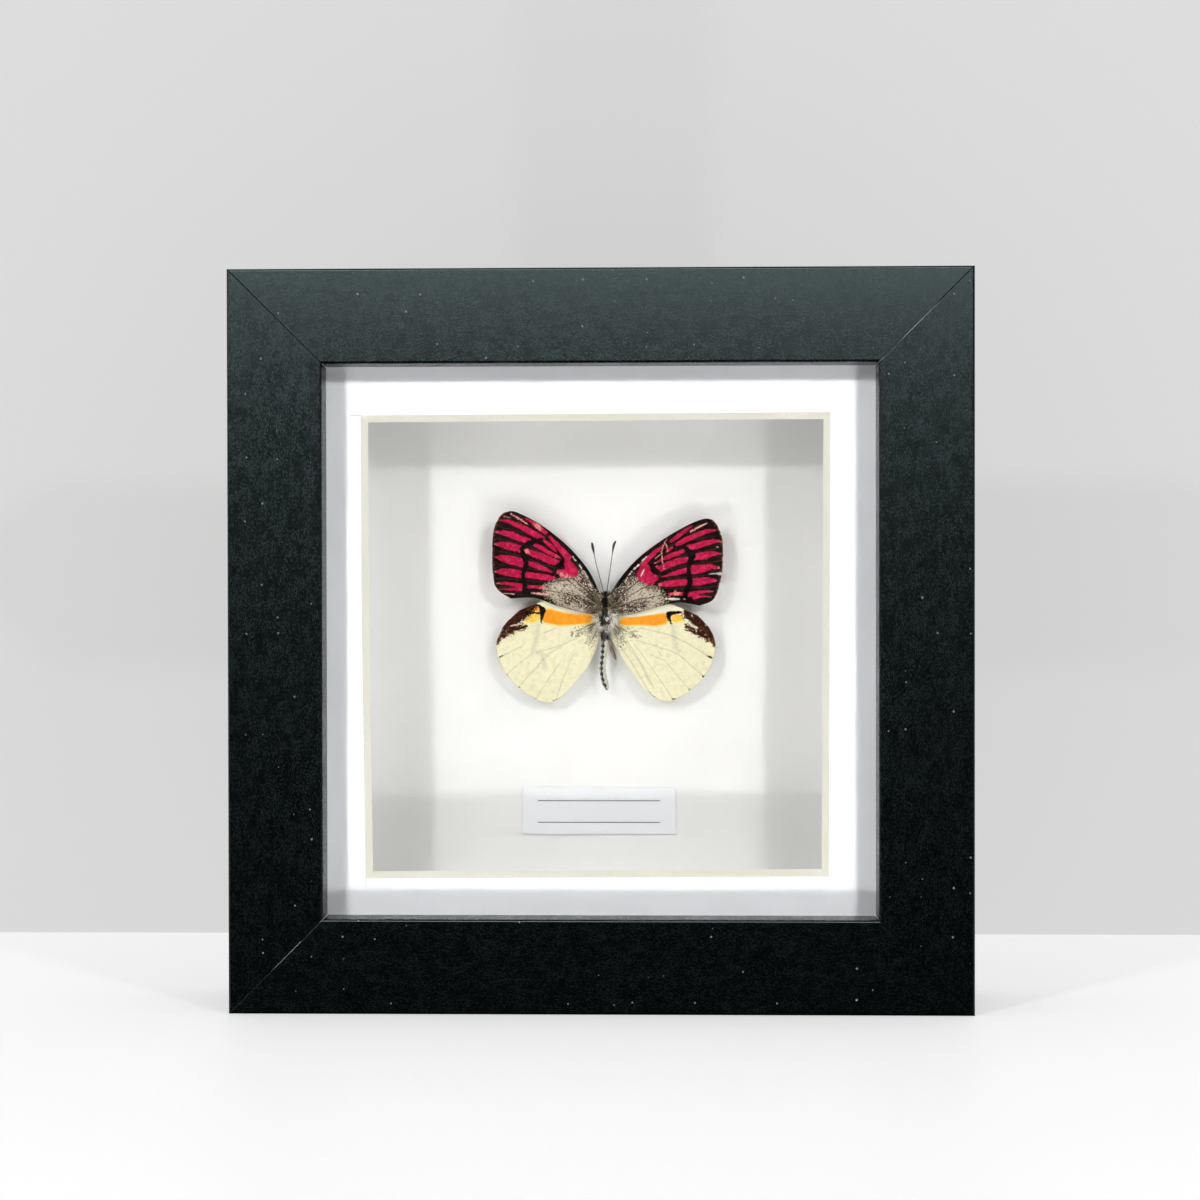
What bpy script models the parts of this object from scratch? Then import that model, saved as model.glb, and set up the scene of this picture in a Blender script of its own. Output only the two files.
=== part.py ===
"""Framed butterfly specimen: a small black shadow-box frame with its glass, mat and backing, and
the spread butterfly fixed inside it.

Metres, +Z up. The glass faces -Y. The origin is under the middle of the frame, on the surface
that it stands on. Depths are measured backwards from the front face of the rails.
"""

import math

import bmesh
import bpy
from mathutils import Matrix, Vector

MM = 0.001
GAP = 0.3 * MM  # clearance between neighbouring pieces

# Frame moulding
GLASS_OPENING = 127 * MM  # rebate to rebate: the standard five inch glass size
RABBET = 6.1 * MM  # how far the lip overhangs the glass
MOULDING_WIDTH = 20.1 * MM
FRAME_DEPTH = 36 * MM
LIP_THICKNESS = 5 * MM
ARRIS = 0.5 * MM  # width of the small bevels along the moulding
SIDE = GLASS_OPENING + 2 * (MOULDING_WIDTH - RABBET)
HALF = SIDE / 2

# The stack behind the lip
PACK_SIDE = GLASS_OPENING - 2 * GAP
GLASS_THICKNESS = 2 * MM
MAT_THICKNESS = 1.4 * MM
SPACER_DEPTH = 18.4 * MM
SPACER_WIDTH = 8 * MM
CARD_THICKNESS = 0.8 * MM
BOARD_THICKNESS = 2.5 * MM
GLASS_FRONT = LIP_THICKNESS + GAP
MAT_FRONT = GLASS_FRONT + GLASS_THICKNESS + GAP
SPACER_FRONT = MAT_FRONT + MAT_THICKNESS + GAP
CARD_FRONT = SPACER_FRONT + SPACER_DEPTH + GAP
BOARD_FRONT = CARD_FRONT + CARD_THICKNESS + GAP
BOARD_BACK = BOARD_FRONT + BOARD_THICKNESS

# Mat window, cut by hand and so not quite square: x and z of its front edge in millimetres
WINDOW = [(-50.4, 124.9), (48.1, 125.3), (47.7, 28.1), (-49.6, 27.5), (-50.3, 85.0)]

# Tabs that hold the stack in
TAB_THICKNESS = 0.4 * MM
TAB_WIDTH = 5 * MM
TAB_OUT = 9 * MM  # how much shows
TAB_IN = 3 * MM  # how much is in the rail
TAB_OFFSET = 32 * MM  # either side of the middle of a rail
TAB_FRONT = BOARD_BACK + GAP

# Sawtooth hanger and its rivets
HANGER_LENGTH = 45 * MM
HANGER_HEIGHT = 9 * MM
HANGER_THICKNESS = 0.8 * MM
HANGER_LIFT = 1.2 * MM
HANGER_FOOT = 8 * MM  # flat length at each end
HANGER_Z = 126 * MM
HANGER_FRONT = BOARD_BACK + GAP
TOOTH_PITCH = 3 * MM
TOOTH_COUNT = 8
RIVET_RADIUS = 0.6 * MM
RIVET_HEAD_RADIUS = 1.7 * MM
RIVET_HEAD = 0.8 * MM
RIVET_LENGTH = 1.6 * MM  # how far it goes into the backboard

# Label
LABEL_CENTRE = (-1.05 * MM, 40.1 * MM)
LABEL_SIZE = (33.2 * MM, 10.2 * MM)
LABEL_THICKNESS = 0.25 * MM

# Butterfly: the middle of the thorax, and the depths of its layers
THORAX = (0.33 * MM, 83.2 * MM)
BODY_DEPTH = 24.8 * MM
FOREWING_DEPTH = 24.0 * MM
HINDWING_DEPTH = 24.6 * MM
WING_THICKNESS = 0.25 * MM
BLOCK_SIZE = (2.4 * MM, 9 * MM)
BLOCK_FRONT = 26.8 * MM
CURVE_STEPS = 3  # straight pieces between two outline points

# Outlines in millimetres from the middle of the thorax, from the root along the leading edge
FOREWING_LEFT = [
    (-1.3, 4.0), (-3.3, 8.9), (-7.7, 14.1), (-13.5, 18.8), (-18.6, 21.5), (-20.5, 21.9),
    (-22.4, 21.0), (-23.9, 17.9), (-24.3, 13.0), (-24.0, 7.1), (-23.0, 4.8), (-20.4, 3.0),
    (-15.0, 3.1), (-10.5, 1.5), (-4.7, -0.1), (-1.9, -0.5),
]
FOREWING_RIGHT = [
    (1.5, 4.0), (3.4, 7.0), (7.3, 11.7), (12.6, 15.7), (18.2, 19.0), (22.4, 20.2),
    (24.4, 18.6), (25.5, 15.5), (25.6, 10.7), (24.9, 5.7), (23.7, 2.9), (20.7, 1.4),
    (15.7, 2.1), (10.6, 0.9), (4.8, -0.7), (2.0, -0.7),
]
HINDWING_LEFT = [
    (-1.9, 0.9), (-5.0, 3.0), (-9.0, 3.5), (-12.6, 2.7), (-15.2, 1.7), (-18.4, 0.5),
    (-21.5, -2.4), (-23.0, -5.1), (-23.5, -8.0), (-21.9, -12.4), (-18.2, -16.7),
    (-13.8, -19.2), (-11.6, -19.5), (-9.0, -18.0), (-6.3, -15.0), (-2.6, -9.9),
    (-1.4, -7.0), (-1.5, -4.2), (-1.8, -2.4),
]
HINDWING_RIGHT = [
    (2.0, 0.7), (5.5, 2.6), (10.0, 3.2), (14.0, 2.0), (17.0, 0.7), (20.3, -0.8),
    (23.0, -3.9), (24.0, -7.8), (22.6, -12.3), (19.5, -16.1), (15.1, -18.9),
    (13.0, -19.2), (9.8, -17.7), (6.4, -13.6), (2.9, -8.4), (1.7, -5.8), (1.6, -4.2),
    (1.9, -2.4),
]

# Spines in millimetres from the middle of the thorax: x, z and radius
BODY = [
    (0.20, 4.4, 0.55), (0.20, 3.6, 0.95), (0.15, 2.8, 0.85), (0.10, 1.4, 1.35),
    (0.10, -0.4, 1.45), (0.00, -2.6, 1.20), (-0.10, -4.1, 0.72), (0.00, -5.4, 0.65),
    (-0.20, -9.2, 0.50), (-0.45, -12.4, 0.52), (-0.10, -14.4, 0.68), (0.30, -15.8, 0.60),
    (0.60, -16.8, 0.30),
]
ANTENNA_LEFT = [
    (-0.30, 4.9, 0.10), (-0.75, 6.5, 0.09), (-1.65, 9.8, 0.09), (-2.20, 12.5, 0.11),
    (-2.35, 13.2, 0.19), (-2.60, 14.5, 0.24), (-2.72, 15.1, 0.14),
]
ANTENNA_RIGHT = [
    (0.50, 4.9, 0.10), (0.90, 7.2, 0.09), (1.45, 10.9, 0.09), (1.75, 13.0, 0.12),
    (1.90, 13.9, 0.20), (2.15, 14.8, 0.24), (2.45, 15.4, 0.14),
]
HIND_LEG = [(1.35, -6.9, 0.12), (1.80, -8.4, 0.16), (2.35, -10.2, 0.11)]
LEG_DEPTH = 24.1 * MM


def place(x, depth, z):
    """A point from its x, its depth behind the front of the rails, and its height."""
    return Vector((x, depth - FRAME_DEPTH / 2, z))


def material(name, colour, roughness, metallic=0.0, transmission=0.0):
    made = bpy.data.materials.new(name)
    made.use_nodes = True
    shader = made.node_tree.nodes["Principled BSDF"]
    shader.inputs["Base Color"].default_value = (*colour, 1)
    shader.inputs["Roughness"].default_value = roughness
    shader.inputs["Metallic"].default_value = metallic
    shader.inputs["Transmission Weight"].default_value = transmission
    return made


def finish(name, bm, used):
    """Turns a bmesh into a named object with one material, its faces pointing out."""
    bmesh.ops.recalc_face_normals(bm, faces=bm.faces)
    mesh = bpy.data.meshes.new(name)
    bm.to_mesh(mesh)
    bm.free()
    mesh.materials.append(used)
    made = bpy.data.objects.new(name, mesh)
    bpy.context.collection.objects.link(made)
    return made


def shade_round(made):
    made.data.shade_smooth()
    made.data.set_sharp_from_angle(angle=math.radians(40))


def skin(bm, rings):
    """Joins rings of equal length into a closed tube with flat ends."""
    loops = [[bm.verts.new(point) for point in ring] for ring in rings]
    count = len(loops[0])
    for near, far in zip(loops, loops[1:]):
        for i in range(count):
            j = (i + 1) % count
            bm.faces.new((near[i], near[j], far[j], far[i]))
    bm.faces.new(loops[0])
    bm.faces.new(loops[-1])


def slab(name, low, high, used):
    """A box between two corners given as (x, depth, z)."""
    bm = bmesh.new()
    size = [b - a for a, b in zip(low, high)]
    middle = [(a + b) / 2 for a, b in zip(low, high)]
    bmesh.ops.create_cube(bm, size=1)
    bmesh.ops.scale(bm, vec=size, verts=bm.verts)
    bmesh.ops.translate(bm, vec=place(*middle), verts=bm.verts)
    return finish(name, bm, used)


def quarter_turns(turns):
    """Turns the bottom of the frame into its right side, its top or its left side."""
    middle = Matrix.Translation((0, 0, HALF))
    return middle @ Matrix.Rotation(-turns * math.pi / 2, 4, "Y") @ middle.inverted()


def cut(made, cutters):
    """Takes the cutters out of an object."""
    for cutter in cutters:
        cutter.hide_render = True
        cutter.display_type = "WIRE"
        boolean = made.modifiers.new("cut", "BOOLEAN")
        boolean.operation = "DIFFERENCE"
        boolean.solver = "EXACT"
        boolean.object = cutter


# Rails

def moulding_profile():
    """The section of a rail as (distance in from the outer side, depth)."""
    inner = MOULDING_WIDTH
    step = MOULDING_WIDTH - RABBET
    return [
        (0, ARRIS), (ARRIS, 0), (inner - ARRIS, 0), (inner, ARRIS), (inner, LIP_THICKNESS),
        (step, LIP_THICKNESS), (step, FRAME_DEPTH), (ARRIS, FRAME_DEPTH),
        (0, FRAME_DEPTH - ARRIS),
    ]


def rail(name, turns, used):
    """One mitred rail. It is drawn along the bottom and turned to its side."""
    bm = bmesh.new()
    mitre = GAP / math.sqrt(2)
    ends = []
    for way in (-1, 1):
        ends.append([
            place(way * (HALF - inward - mitre), depth, inward)
            for inward, depth in moulding_profile()
        ])
    skin(bm, ends)
    bmesh.ops.transform(bm, matrix=quarter_turns(turns), verts=bm.verts)
    return finish(name, bm, used)


def tab_slot(name, along, turns, used):
    """The cutter for the slot that a tab is pushed into."""
    step = MOULDING_WIDTH - RABBET
    half = TAB_WIDTH / 2 + GAP
    low = (along - half, TAB_FRONT - GAP, step - TAB_IN - GAP)
    high = (along + half, TAB_FRONT + TAB_THICKNESS + GAP, step + GAP)
    cutter = slab(name, low, high, used)
    cutter.data.transform(quarter_turns(turns))
    return cutter


# Stack

def window_mat(used):
    """Board with the window cut through it, wider at the front by its 45 degree bevel."""
    edge = PACK_SIDE / 2
    mat = slab(
        "window_mat",
        (-edge, MAT_FRONT, HALF - edge),
        (edge, MAT_FRONT + MAT_THICKNESS, HALF + edge),
        used,
    )
    centre_x = sum(x for x, _ in WINDOW[:4]) / 4 * MM
    centre_z = sum(z for _, z in WINDOW[:4]) / 4 * MM
    past = 0.5 * MM
    rings = []
    for depth in (-past, MAT_THICKNESS + past):
        ring = []
        for x, z in WINDOW:
            at_x = x * MM - math.copysign(depth, x * MM - centre_x)
            at_z = z * MM
            if abs(at_z - centre_z) > edge / 2:
                at_z -= math.copysign(depth, at_z - centre_z)
            ring.append(place(at_x, MAT_FRONT + depth, at_z))
        rings.append(ring)
    bm = bmesh.new()
    skin(bm, rings)
    cut(mat, [finish("window_cutter", bm, used)])
    return mat


def spacers(used):
    """Two long strips at the top and bottom, and two short ones between them."""
    edge = PACK_SIDE / 2
    inner = edge - SPACER_WIDTH
    front = SPACER_FRONT
    back = SPACER_FRONT + SPACER_DEPTH
    slab("spacer_top", (-edge, front, HALF + inner), (edge, back, HALF + edge), used)
    slab("spacer_bottom", (-edge, front, HALF - edge), (edge, back, HALF - inner), used)
    low = HALF - inner + GAP
    high = HALF + inner - GAP
    slab("spacer_left", (-edge, front, low), (-inner, back, high), used)
    slab("spacer_right", (inner, front, low), (edge, back, high), used)


# Back

def back_tab(name, along, turns, used):
    """A flat steel tab with a rounded free end."""
    step = MOULDING_WIDTH - RABBET
    half = TAB_WIDTH / 2
    outline = [(along + half, step - TAB_IN), (along - half, step - TAB_IN)]
    for i in range(9):
        angle = math.pi * (1 - i / 8)
        round_z = step + TAB_OUT - half + half * math.sin(angle)
        outline.append((along + half * math.cos(angle), round_z))
    bm = bmesh.new()
    depths = (TAB_FRONT, TAB_FRONT + TAB_THICKNESS)
    skin(bm, [[place(x, depth, z) for x, z in outline] for depth in depths])
    bmesh.ops.transform(bm, matrix=quarter_turns(turns), verts=bm.verts)
    return finish(name, bm, used)


def hanger(used):
    """A strip that steps up off the board between its two flat feet, with teeth along its edge."""
    half = HANGER_LENGTH / 2
    foot = half - HANGER_FOOT
    rise = foot - 2 * HANGER_LIFT
    front = HANGER_FRONT
    raised = front + HANGER_LIFT
    near = [(-half, front), (-foot, front), (-rise, raised), (rise, raised), (foot, front),
            (half, front)]
    section = near + [(x, depth + HANGER_THICKNESS) for x, depth in reversed(near)]
    bm = bmesh.new()
    heights = (HANGER_Z - HANGER_HEIGHT / 2, HANGER_Z + HANGER_HEIGHT / 2)
    skin(bm, [[place(x, depth, z) for x, depth in section] for z in heights])
    strip = finish("sawtooth_hanger", bm, used)

    # The teeth are left between notches cut up into the lower edge.
    low = heights[0] - MM
    start = -TOOTH_PITCH * TOOTH_COUNT / 2
    zigzag = [(start, low)]
    for i in range(TOOTH_COUNT):
        left = start + i * TOOTH_PITCH
        zigzag.append((left + 0.1 * TOOTH_PITCH, heights[0]))
        zigzag.append((left + 0.5 * TOOTH_PITCH, heights[0] + 0.7 * TOOTH_PITCH))
        zigzag.append((left + 0.9 * TOOTH_PITCH, heights[0]))
    zigzag.append((-start, low))
    bm = bmesh.new()
    depths = (front, raised + 2 * HANGER_THICKNESS)
    skin(bm, [[place(x, depth, z) for x, z in zigzag] for depth in depths])
    return strip, finish("teeth_cutter", bm, used)


def turned(name, x, z, rings, used, sides=16):
    """A round piece whose axis runs front to back: rings are (depth, radius)."""
    bm = bmesh.new()
    loops = []
    for depth, radius in rings:
        loops.append([
            place(
                x + radius * math.cos(2 * math.pi * i / sides),
                depth,
                z + radius * math.sin(2 * math.pi * i / sides),
            )
            for i in range(sides)
        ])
    skin(bm, loops)
    made = finish(name, bm, used)
    shade_round(made)
    return made


def hung_back(steel, board):
    """The hanger and its two rivets, which go through its feet into the backboard."""
    strip, teeth = hanger(steel)
    cutters = [teeth]
    board_cutters = []
    head_front = HANGER_FRONT + HANGER_THICKNESS + GAP
    for side, way in (("left", -1), ("right", 1)):
        x = way * (HANGER_LENGTH - HANGER_FOOT) / 2
        bore = RIVET_RADIUS + GAP
        through = [(HANGER_FRONT - MM, bore), (head_front + MM, bore)]
        cutters.append(turned(f"foot_bore_{side}", x, HANGER_Z, through, steel))
        into = [(BOARD_BACK - RIVET_LENGTH - GAP, bore), (BOARD_BACK + MM, bore)]
        board_cutters.append(turned(f"board_bore_{side}", x, HANGER_Z, into, steel))
        turned(
            f"hanger_rivet_{side}",
            x,
            HANGER_Z,
            [
                (BOARD_BACK - RIVET_LENGTH, RIVET_RADIUS),
                (head_front, RIVET_RADIUS),
                (head_front, RIVET_HEAD_RADIUS),
                (head_front + RIVET_HEAD / 2, RIVET_HEAD_RADIUS),
                (head_front + RIVET_HEAD, RIVET_HEAD_RADIUS / 2),
            ],
            steel,
        )
    cut(strip, cutters)
    cut(board, board_cutters)


# Butterfly

def smooth_outline(points):
    """A closed Catmull-Rom curve through the points."""
    result = []
    count = len(points)
    for i in range(count):
        p0, p1, p2, p3 = (Vector(points[(i + k) % count]) for k in (-1, 0, 1, 2))
        for step in range(CURVE_STEPS):
            t = step / CURVE_STEPS
            result.append(
                0.5 * (2 * p1 + (p2 - p0) * t + (2 * p0 - 5 * p1 + 4 * p2 - p3) * t ** 2
                       + (3 * p1 - p0 - 3 * p2 + p3) * t ** 3)
            )
    return result


def wing(name, outline, depth, used):
    """One thin flat wing."""
    bm = bmesh.new()
    edge = smooth_outline(outline)
    for_depth = (depth - WING_THICKNESS / 2, depth + WING_THICKNESS / 2)
    rings = [
        [place(THORAX[0] + p.x * MM, at, THORAX[1] + p.y * MM) for p in edge]
        for at in for_depth
    ]
    skin(bm, rings)
    return finish(name, bm, used)


def limb(name, spine, depth, used, sides=10):
    """A round body along a spine that lies parallel to the card."""
    bm = bmesh.new()
    rings = []
    for i, (x, z, radius) in enumerate(spine):
        before = spine[max(i - 1, 0)]
        after = spine[min(i + 1, len(spine) - 1)]
        along = Vector((after[0] - before[0], after[1] - before[1])).normalized()
        across = Vector((-along.y, along.x))
        ring = []
        for k in range(sides):
            angle = 2 * math.pi * k / sides
            out = radius * math.cos(angle)
            ring.append(place(
                THORAX[0] + (x + across.x * out) * MM,
                depth + radius * math.sin(angle) * MM,
                THORAX[1] + (z + across.y * out) * MM,
            ))
        rings.append(ring)
    skin(bm, rings)
    made = finish(name, bm, used)
    shade_round(made)
    return made


for old in list(bpy.data.objects):
    bpy.data.objects.remove(old, do_unlink=True)

black_foil = material("black_foil", (0.012, 0.013, 0.014), 0.38)
clear_glass = material("clear_glass", (1, 1, 1), 0.0, transmission=1.0)
mount_board = material("mount_board", (0.86, 0.87, 0.87), 0.9)
white_card = material("white_card", (0.83, 0.82, 0.80), 0.9)
label_paper = material("label_paper", (0.85, 0.86, 0.87), 0.8)
fibreboard = material("fibreboard", (0.24, 0.13, 0.07), 0.8)
zinc_steel = material("zinc_steel", (0.55, 0.55, 0.53), 0.35, metallic=1.0)
crimson_wing = material("crimson_wing", (0.40, 0.03, 0.08), 0.6)
cream_wing = material("cream_wing", (0.85, 0.80, 0.55), 0.7)
dark_fur = material("dark_fur", (0.05, 0.04, 0.035), 0.8)

tabs = 0
for turns, side in enumerate(("bottom", "right", "top", "left")):
    moulding = rail(f"frame_rail_{side}", turns, black_foil)
    slots = []
    for along in (-TAB_OFFSET, TAB_OFFSET):
        tabs += 1
        slots.append(tab_slot(f"slot_cutter_{tabs}", along, turns, black_foil))
        back_tab(f"back_tab_{tabs}", along, turns, zinc_steel)
    cut(moulding, slots)

pack_half = PACK_SIDE / 2
pack_low = HALF - pack_half
pack_high = HALF + pack_half
slab(
    "glass_pane",
    (-pack_half, GLASS_FRONT, pack_low),
    (pack_half, GLASS_FRONT + GLASS_THICKNESS, pack_high),
    clear_glass,
)
window_mat(mount_board)
spacers(white_card)
slab(
    "backing_card",
    (-pack_half, CARD_FRONT, pack_low),
    (pack_half, CARD_FRONT + CARD_THICKNESS, pack_high),
    white_card,
)
backboard = slab(
    "backboard",
    (-pack_half, BOARD_FRONT, pack_low),
    (pack_half, BOARD_BACK, pack_high),
    fibreboard,
)
hung_back(zinc_steel, backboard)

label_back = CARD_FRONT - GAP
slab(
    "name_label",
    (LABEL_CENTRE[0] - LABEL_SIZE[0] / 2, label_back - LABEL_THICKNESS,
     LABEL_CENTRE[1] - LABEL_SIZE[1] / 2),
    (LABEL_CENTRE[0] + LABEL_SIZE[0] / 2, label_back, LABEL_CENTRE[1] + LABEL_SIZE[1] / 2),
    label_paper,
)
slab(
    "mounting_block",
    (THORAX[0] - BLOCK_SIZE[0] / 2, BLOCK_FRONT, THORAX[1] - BLOCK_SIZE[1] / 2),
    (THORAX[0] + BLOCK_SIZE[0] / 2, CARD_FRONT - GAP, THORAX[1] + BLOCK_SIZE[1] / 2),
    white_card,
)

wing("forewing_left", FOREWING_LEFT, FOREWING_DEPTH, crimson_wing)
wing("forewing_right", FOREWING_RIGHT, FOREWING_DEPTH, crimson_wing)
wing("hindwing_left", HINDWING_LEFT, HINDWING_DEPTH, cream_wing)
wing("hindwing_right", HINDWING_RIGHT, HINDWING_DEPTH, cream_wing)
limb("butterfly_body", BODY, BODY_DEPTH, dark_fur, sides=16)
limb("antenna_left", ANTENNA_LEFT, BODY_DEPTH - 0.6 * MM, dark_fur)
limb("antenna_right", ANTENNA_RIGHT, BODY_DEPTH - 0.6 * MM, dark_fur)
limb("hind_leg", HIND_LEG, LEG_DEPTH, dark_fur)
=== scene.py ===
import math
from contextlib import contextmanager

import bpy
import numpy as np
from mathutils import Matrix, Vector


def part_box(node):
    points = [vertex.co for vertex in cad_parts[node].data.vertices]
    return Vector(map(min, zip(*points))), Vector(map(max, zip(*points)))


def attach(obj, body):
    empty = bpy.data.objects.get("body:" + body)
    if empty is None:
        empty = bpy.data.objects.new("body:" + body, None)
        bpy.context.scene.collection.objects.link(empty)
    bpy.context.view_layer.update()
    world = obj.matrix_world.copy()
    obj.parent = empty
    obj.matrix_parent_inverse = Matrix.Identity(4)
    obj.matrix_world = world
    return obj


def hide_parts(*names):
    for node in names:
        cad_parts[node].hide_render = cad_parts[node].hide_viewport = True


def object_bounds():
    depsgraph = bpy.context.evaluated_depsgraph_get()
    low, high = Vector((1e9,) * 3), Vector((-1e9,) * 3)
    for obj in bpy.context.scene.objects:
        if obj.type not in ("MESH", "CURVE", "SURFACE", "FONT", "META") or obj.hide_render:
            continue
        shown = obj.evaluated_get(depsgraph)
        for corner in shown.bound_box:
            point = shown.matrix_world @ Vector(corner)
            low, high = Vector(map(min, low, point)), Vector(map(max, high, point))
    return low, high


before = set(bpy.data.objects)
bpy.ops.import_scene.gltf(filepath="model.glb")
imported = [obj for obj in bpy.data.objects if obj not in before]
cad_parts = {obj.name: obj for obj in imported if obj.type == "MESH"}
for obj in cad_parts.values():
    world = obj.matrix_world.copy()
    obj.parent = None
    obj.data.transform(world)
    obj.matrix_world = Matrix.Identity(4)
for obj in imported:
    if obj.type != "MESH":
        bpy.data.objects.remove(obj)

cad_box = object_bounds()

# ---------------------------------------------------------------------------------------------
# Frame rails. Four lengths of softwood moulding wrapped in a satin black foil that is pressed
# with a fine grain, cut at 45 degrees and pinned at the corners, so that each corner shows one
# thin joint line. A rebate behind the lip takes the glass and everything behind it.

MM = 0.001
CLEARANCE = 0.3 * MM  # between the glass and the rails
FRONT = cad_box[0].y
MIDDLE = Vector((0, 0, (cad_box[0].z + cad_box[1].z) / 2))
HALF = (cad_box[1].x - cad_box[0].x) / 2
DEPTH = cad_box[1].y - cad_box[0].y
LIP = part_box("glass_pane")[0].y - FRONT - CLEARANCE
REBATE_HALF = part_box("glass_pane")[1].x + CLEARANCE
LIP_REACH = 6.1 * MM
RAIL_WIDTH = HALF - (REBATE_HALF - LIP_REACH)
LIP_SLANT = 0.35 * MM  # the lip opens out a little towards the front
LONG_ROUND = 0.5 * MM
MITRE_ROUND = 0.10 * MM
MITRE_GAP = 0.09 * MM


def place(x, depth, z):
    """A point from its x, its depth behind the front of the rails, and its height."""
    return Vector((x, FRONT + depth, z))


def pick(made=None):
    """Leaves edit mode and makes one piece, or nothing, the only thing selected."""
    if bpy.context.object and bpy.context.object.mode != "OBJECT":
        bpy.ops.object.mode_set(mode="OBJECT")
    bpy.ops.object.select_all(action="DESELECT")
    if made:
        bpy.context.view_layer.objects.active = made
        made.select_set(True)


@contextmanager
def editing(made, kind="VERT", select="SELECT"):
    """Edit mode on one piece, with all of it selected, nothing, or (None) what was chosen."""
    pick(made)
    bpy.ops.object.mode_set(mode="EDIT")
    bpy.ops.mesh.select_mode(type=kind)
    if select:
        bpy.ops.mesh.select_all(action=select)
    yield
    bpy.ops.object.mode_set(mode="OBJECT")


def choose(made, kind, parts, chosen):
    """Selects those vertices, edges or faces of a piece for which chosen is true."""
    with editing(made, kind, "DESELECT"):
        pass
    for part in parts:
        part.select = bool(chosen(part))


def start(kind, **size):
    """Adds a primitive at its size and place and returns its object."""
    pick()
    getattr(bpy.ops.mesh, f"primitive_{kind}_add")(**size)
    bpy.ops.object.transform_apply(location=True, rotation=True, scale=True)
    return bpy.context.object


def block(low, high):
    """A cube that fills the box between two corners."""
    return start("cube", size=1, location=(low + high) / 2, scale=high - low)


def apply(made, kind, **settings):
    """Adds a modifier to a piece and applies it."""
    pick(made)
    modifier = made.modifiers.new(kind, kind)
    for label, value in settings.items():
        setattr(modifier, label, value)
    bpy.ops.object.modifier_apply(modifier=kind)


def subtract(made, cutter):
    """Cuts one piece out of another and throws the cutter away."""
    apply(made, "BOOLEAN", operation="DIFFERENCE", solver="EXACT", object=cutter)
    bpy.data.objects.remove(cutter, do_unlink=True)


def bevel_edges(made, width, segments=2, chosen=lambda a, b: True):
    """Rounds the edges for which chosen(first end, second end) is true."""
    points = made.data.vertices
    choose(made, "EDGE", made.data.edges, lambda edge: chosen(*(points[i].co for i in edge.vertices)))
    with editing(made, "EDGE", None):
        bpy.ops.mesh.bevel(offset=width, segments=segments, profile=0.5)


def smooth_by_angle(made, degrees=35):
    """Smooths the rounded edges and keeps the broad faces between them flat."""
    pick(made)
    bpy.ops.object.shade_smooth_by_angle(angle=math.radians(degrees))
    apply(made, "WEIGHTED_NORMAL", keep_sharp=True)


def finished(made, name, slot, replaced, *finishes):
    """Names a piece, gives it its materials, and fixes it to the frame."""
    pick()
    made.name = made.data.name = name
    made.data.materials.clear()
    for finish in finishes:
        made.data.materials.append(finish.material)
    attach(made, "root")
    if replaced:
        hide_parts(*replaced)
    return made


def rail(quarter_turns):
    """One rail, shaped along the bottom of the frame and turned to its own side."""
    made = block(place(-HALF, 0, 0), place(HALF, DEPTH, RAIL_WIDTH))
    rebate_low = place(-2 * HALF, LIP, HALF - REBATE_HALF)
    subtract(made, block(rebate_low, place(2 * HALF, 2 * DEPTH, 2 * RAIL_WIDTH)))
    lip_depth = FRONT + LIP / 2
    choose(made, "VERT", made.data.vertices,
           lambda corner: corner.co.y < lip_depth and corner.co.z > RAIL_WIDTH / 2)
    with editing(made, "VERT", None):
        bpy.ops.transform.translate(value=(0, 0, -LIP_SLANT))
    bevel_edges(made, LONG_ROUND, 4, lambda a, b: abs(a.x - b.x) > HALF and not (
        a.z > RAIL_WIDTH / 4 and a.y > lip_depth))
    with editing(made):
        for way in (-1, 1):
            bpy.ops.mesh.select_all(action="SELECT")
            bpy.ops.mesh.bisect(plane_co=(way * (HALF - MITRE_GAP), 0, 0), plane_no=(way, 0, 1),
                                use_fill=True, clear_outer=True)
    bevel_edges(made, MITRE_ROUND, 2, lambda a, b: a.x * b.x > 0 and (
        abs(abs(a.x) + a.z - abs(b.x) - b.z) < 1e-6))
    with editing(made):
        bpy.ops.transform.rotate(value=quarter_turns * math.pi / 2, orient_axis="Y",
                                 orient_type="GLOBAL", center_override=MIDDLE)
    smooth_by_angle(made)
    return made


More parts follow.
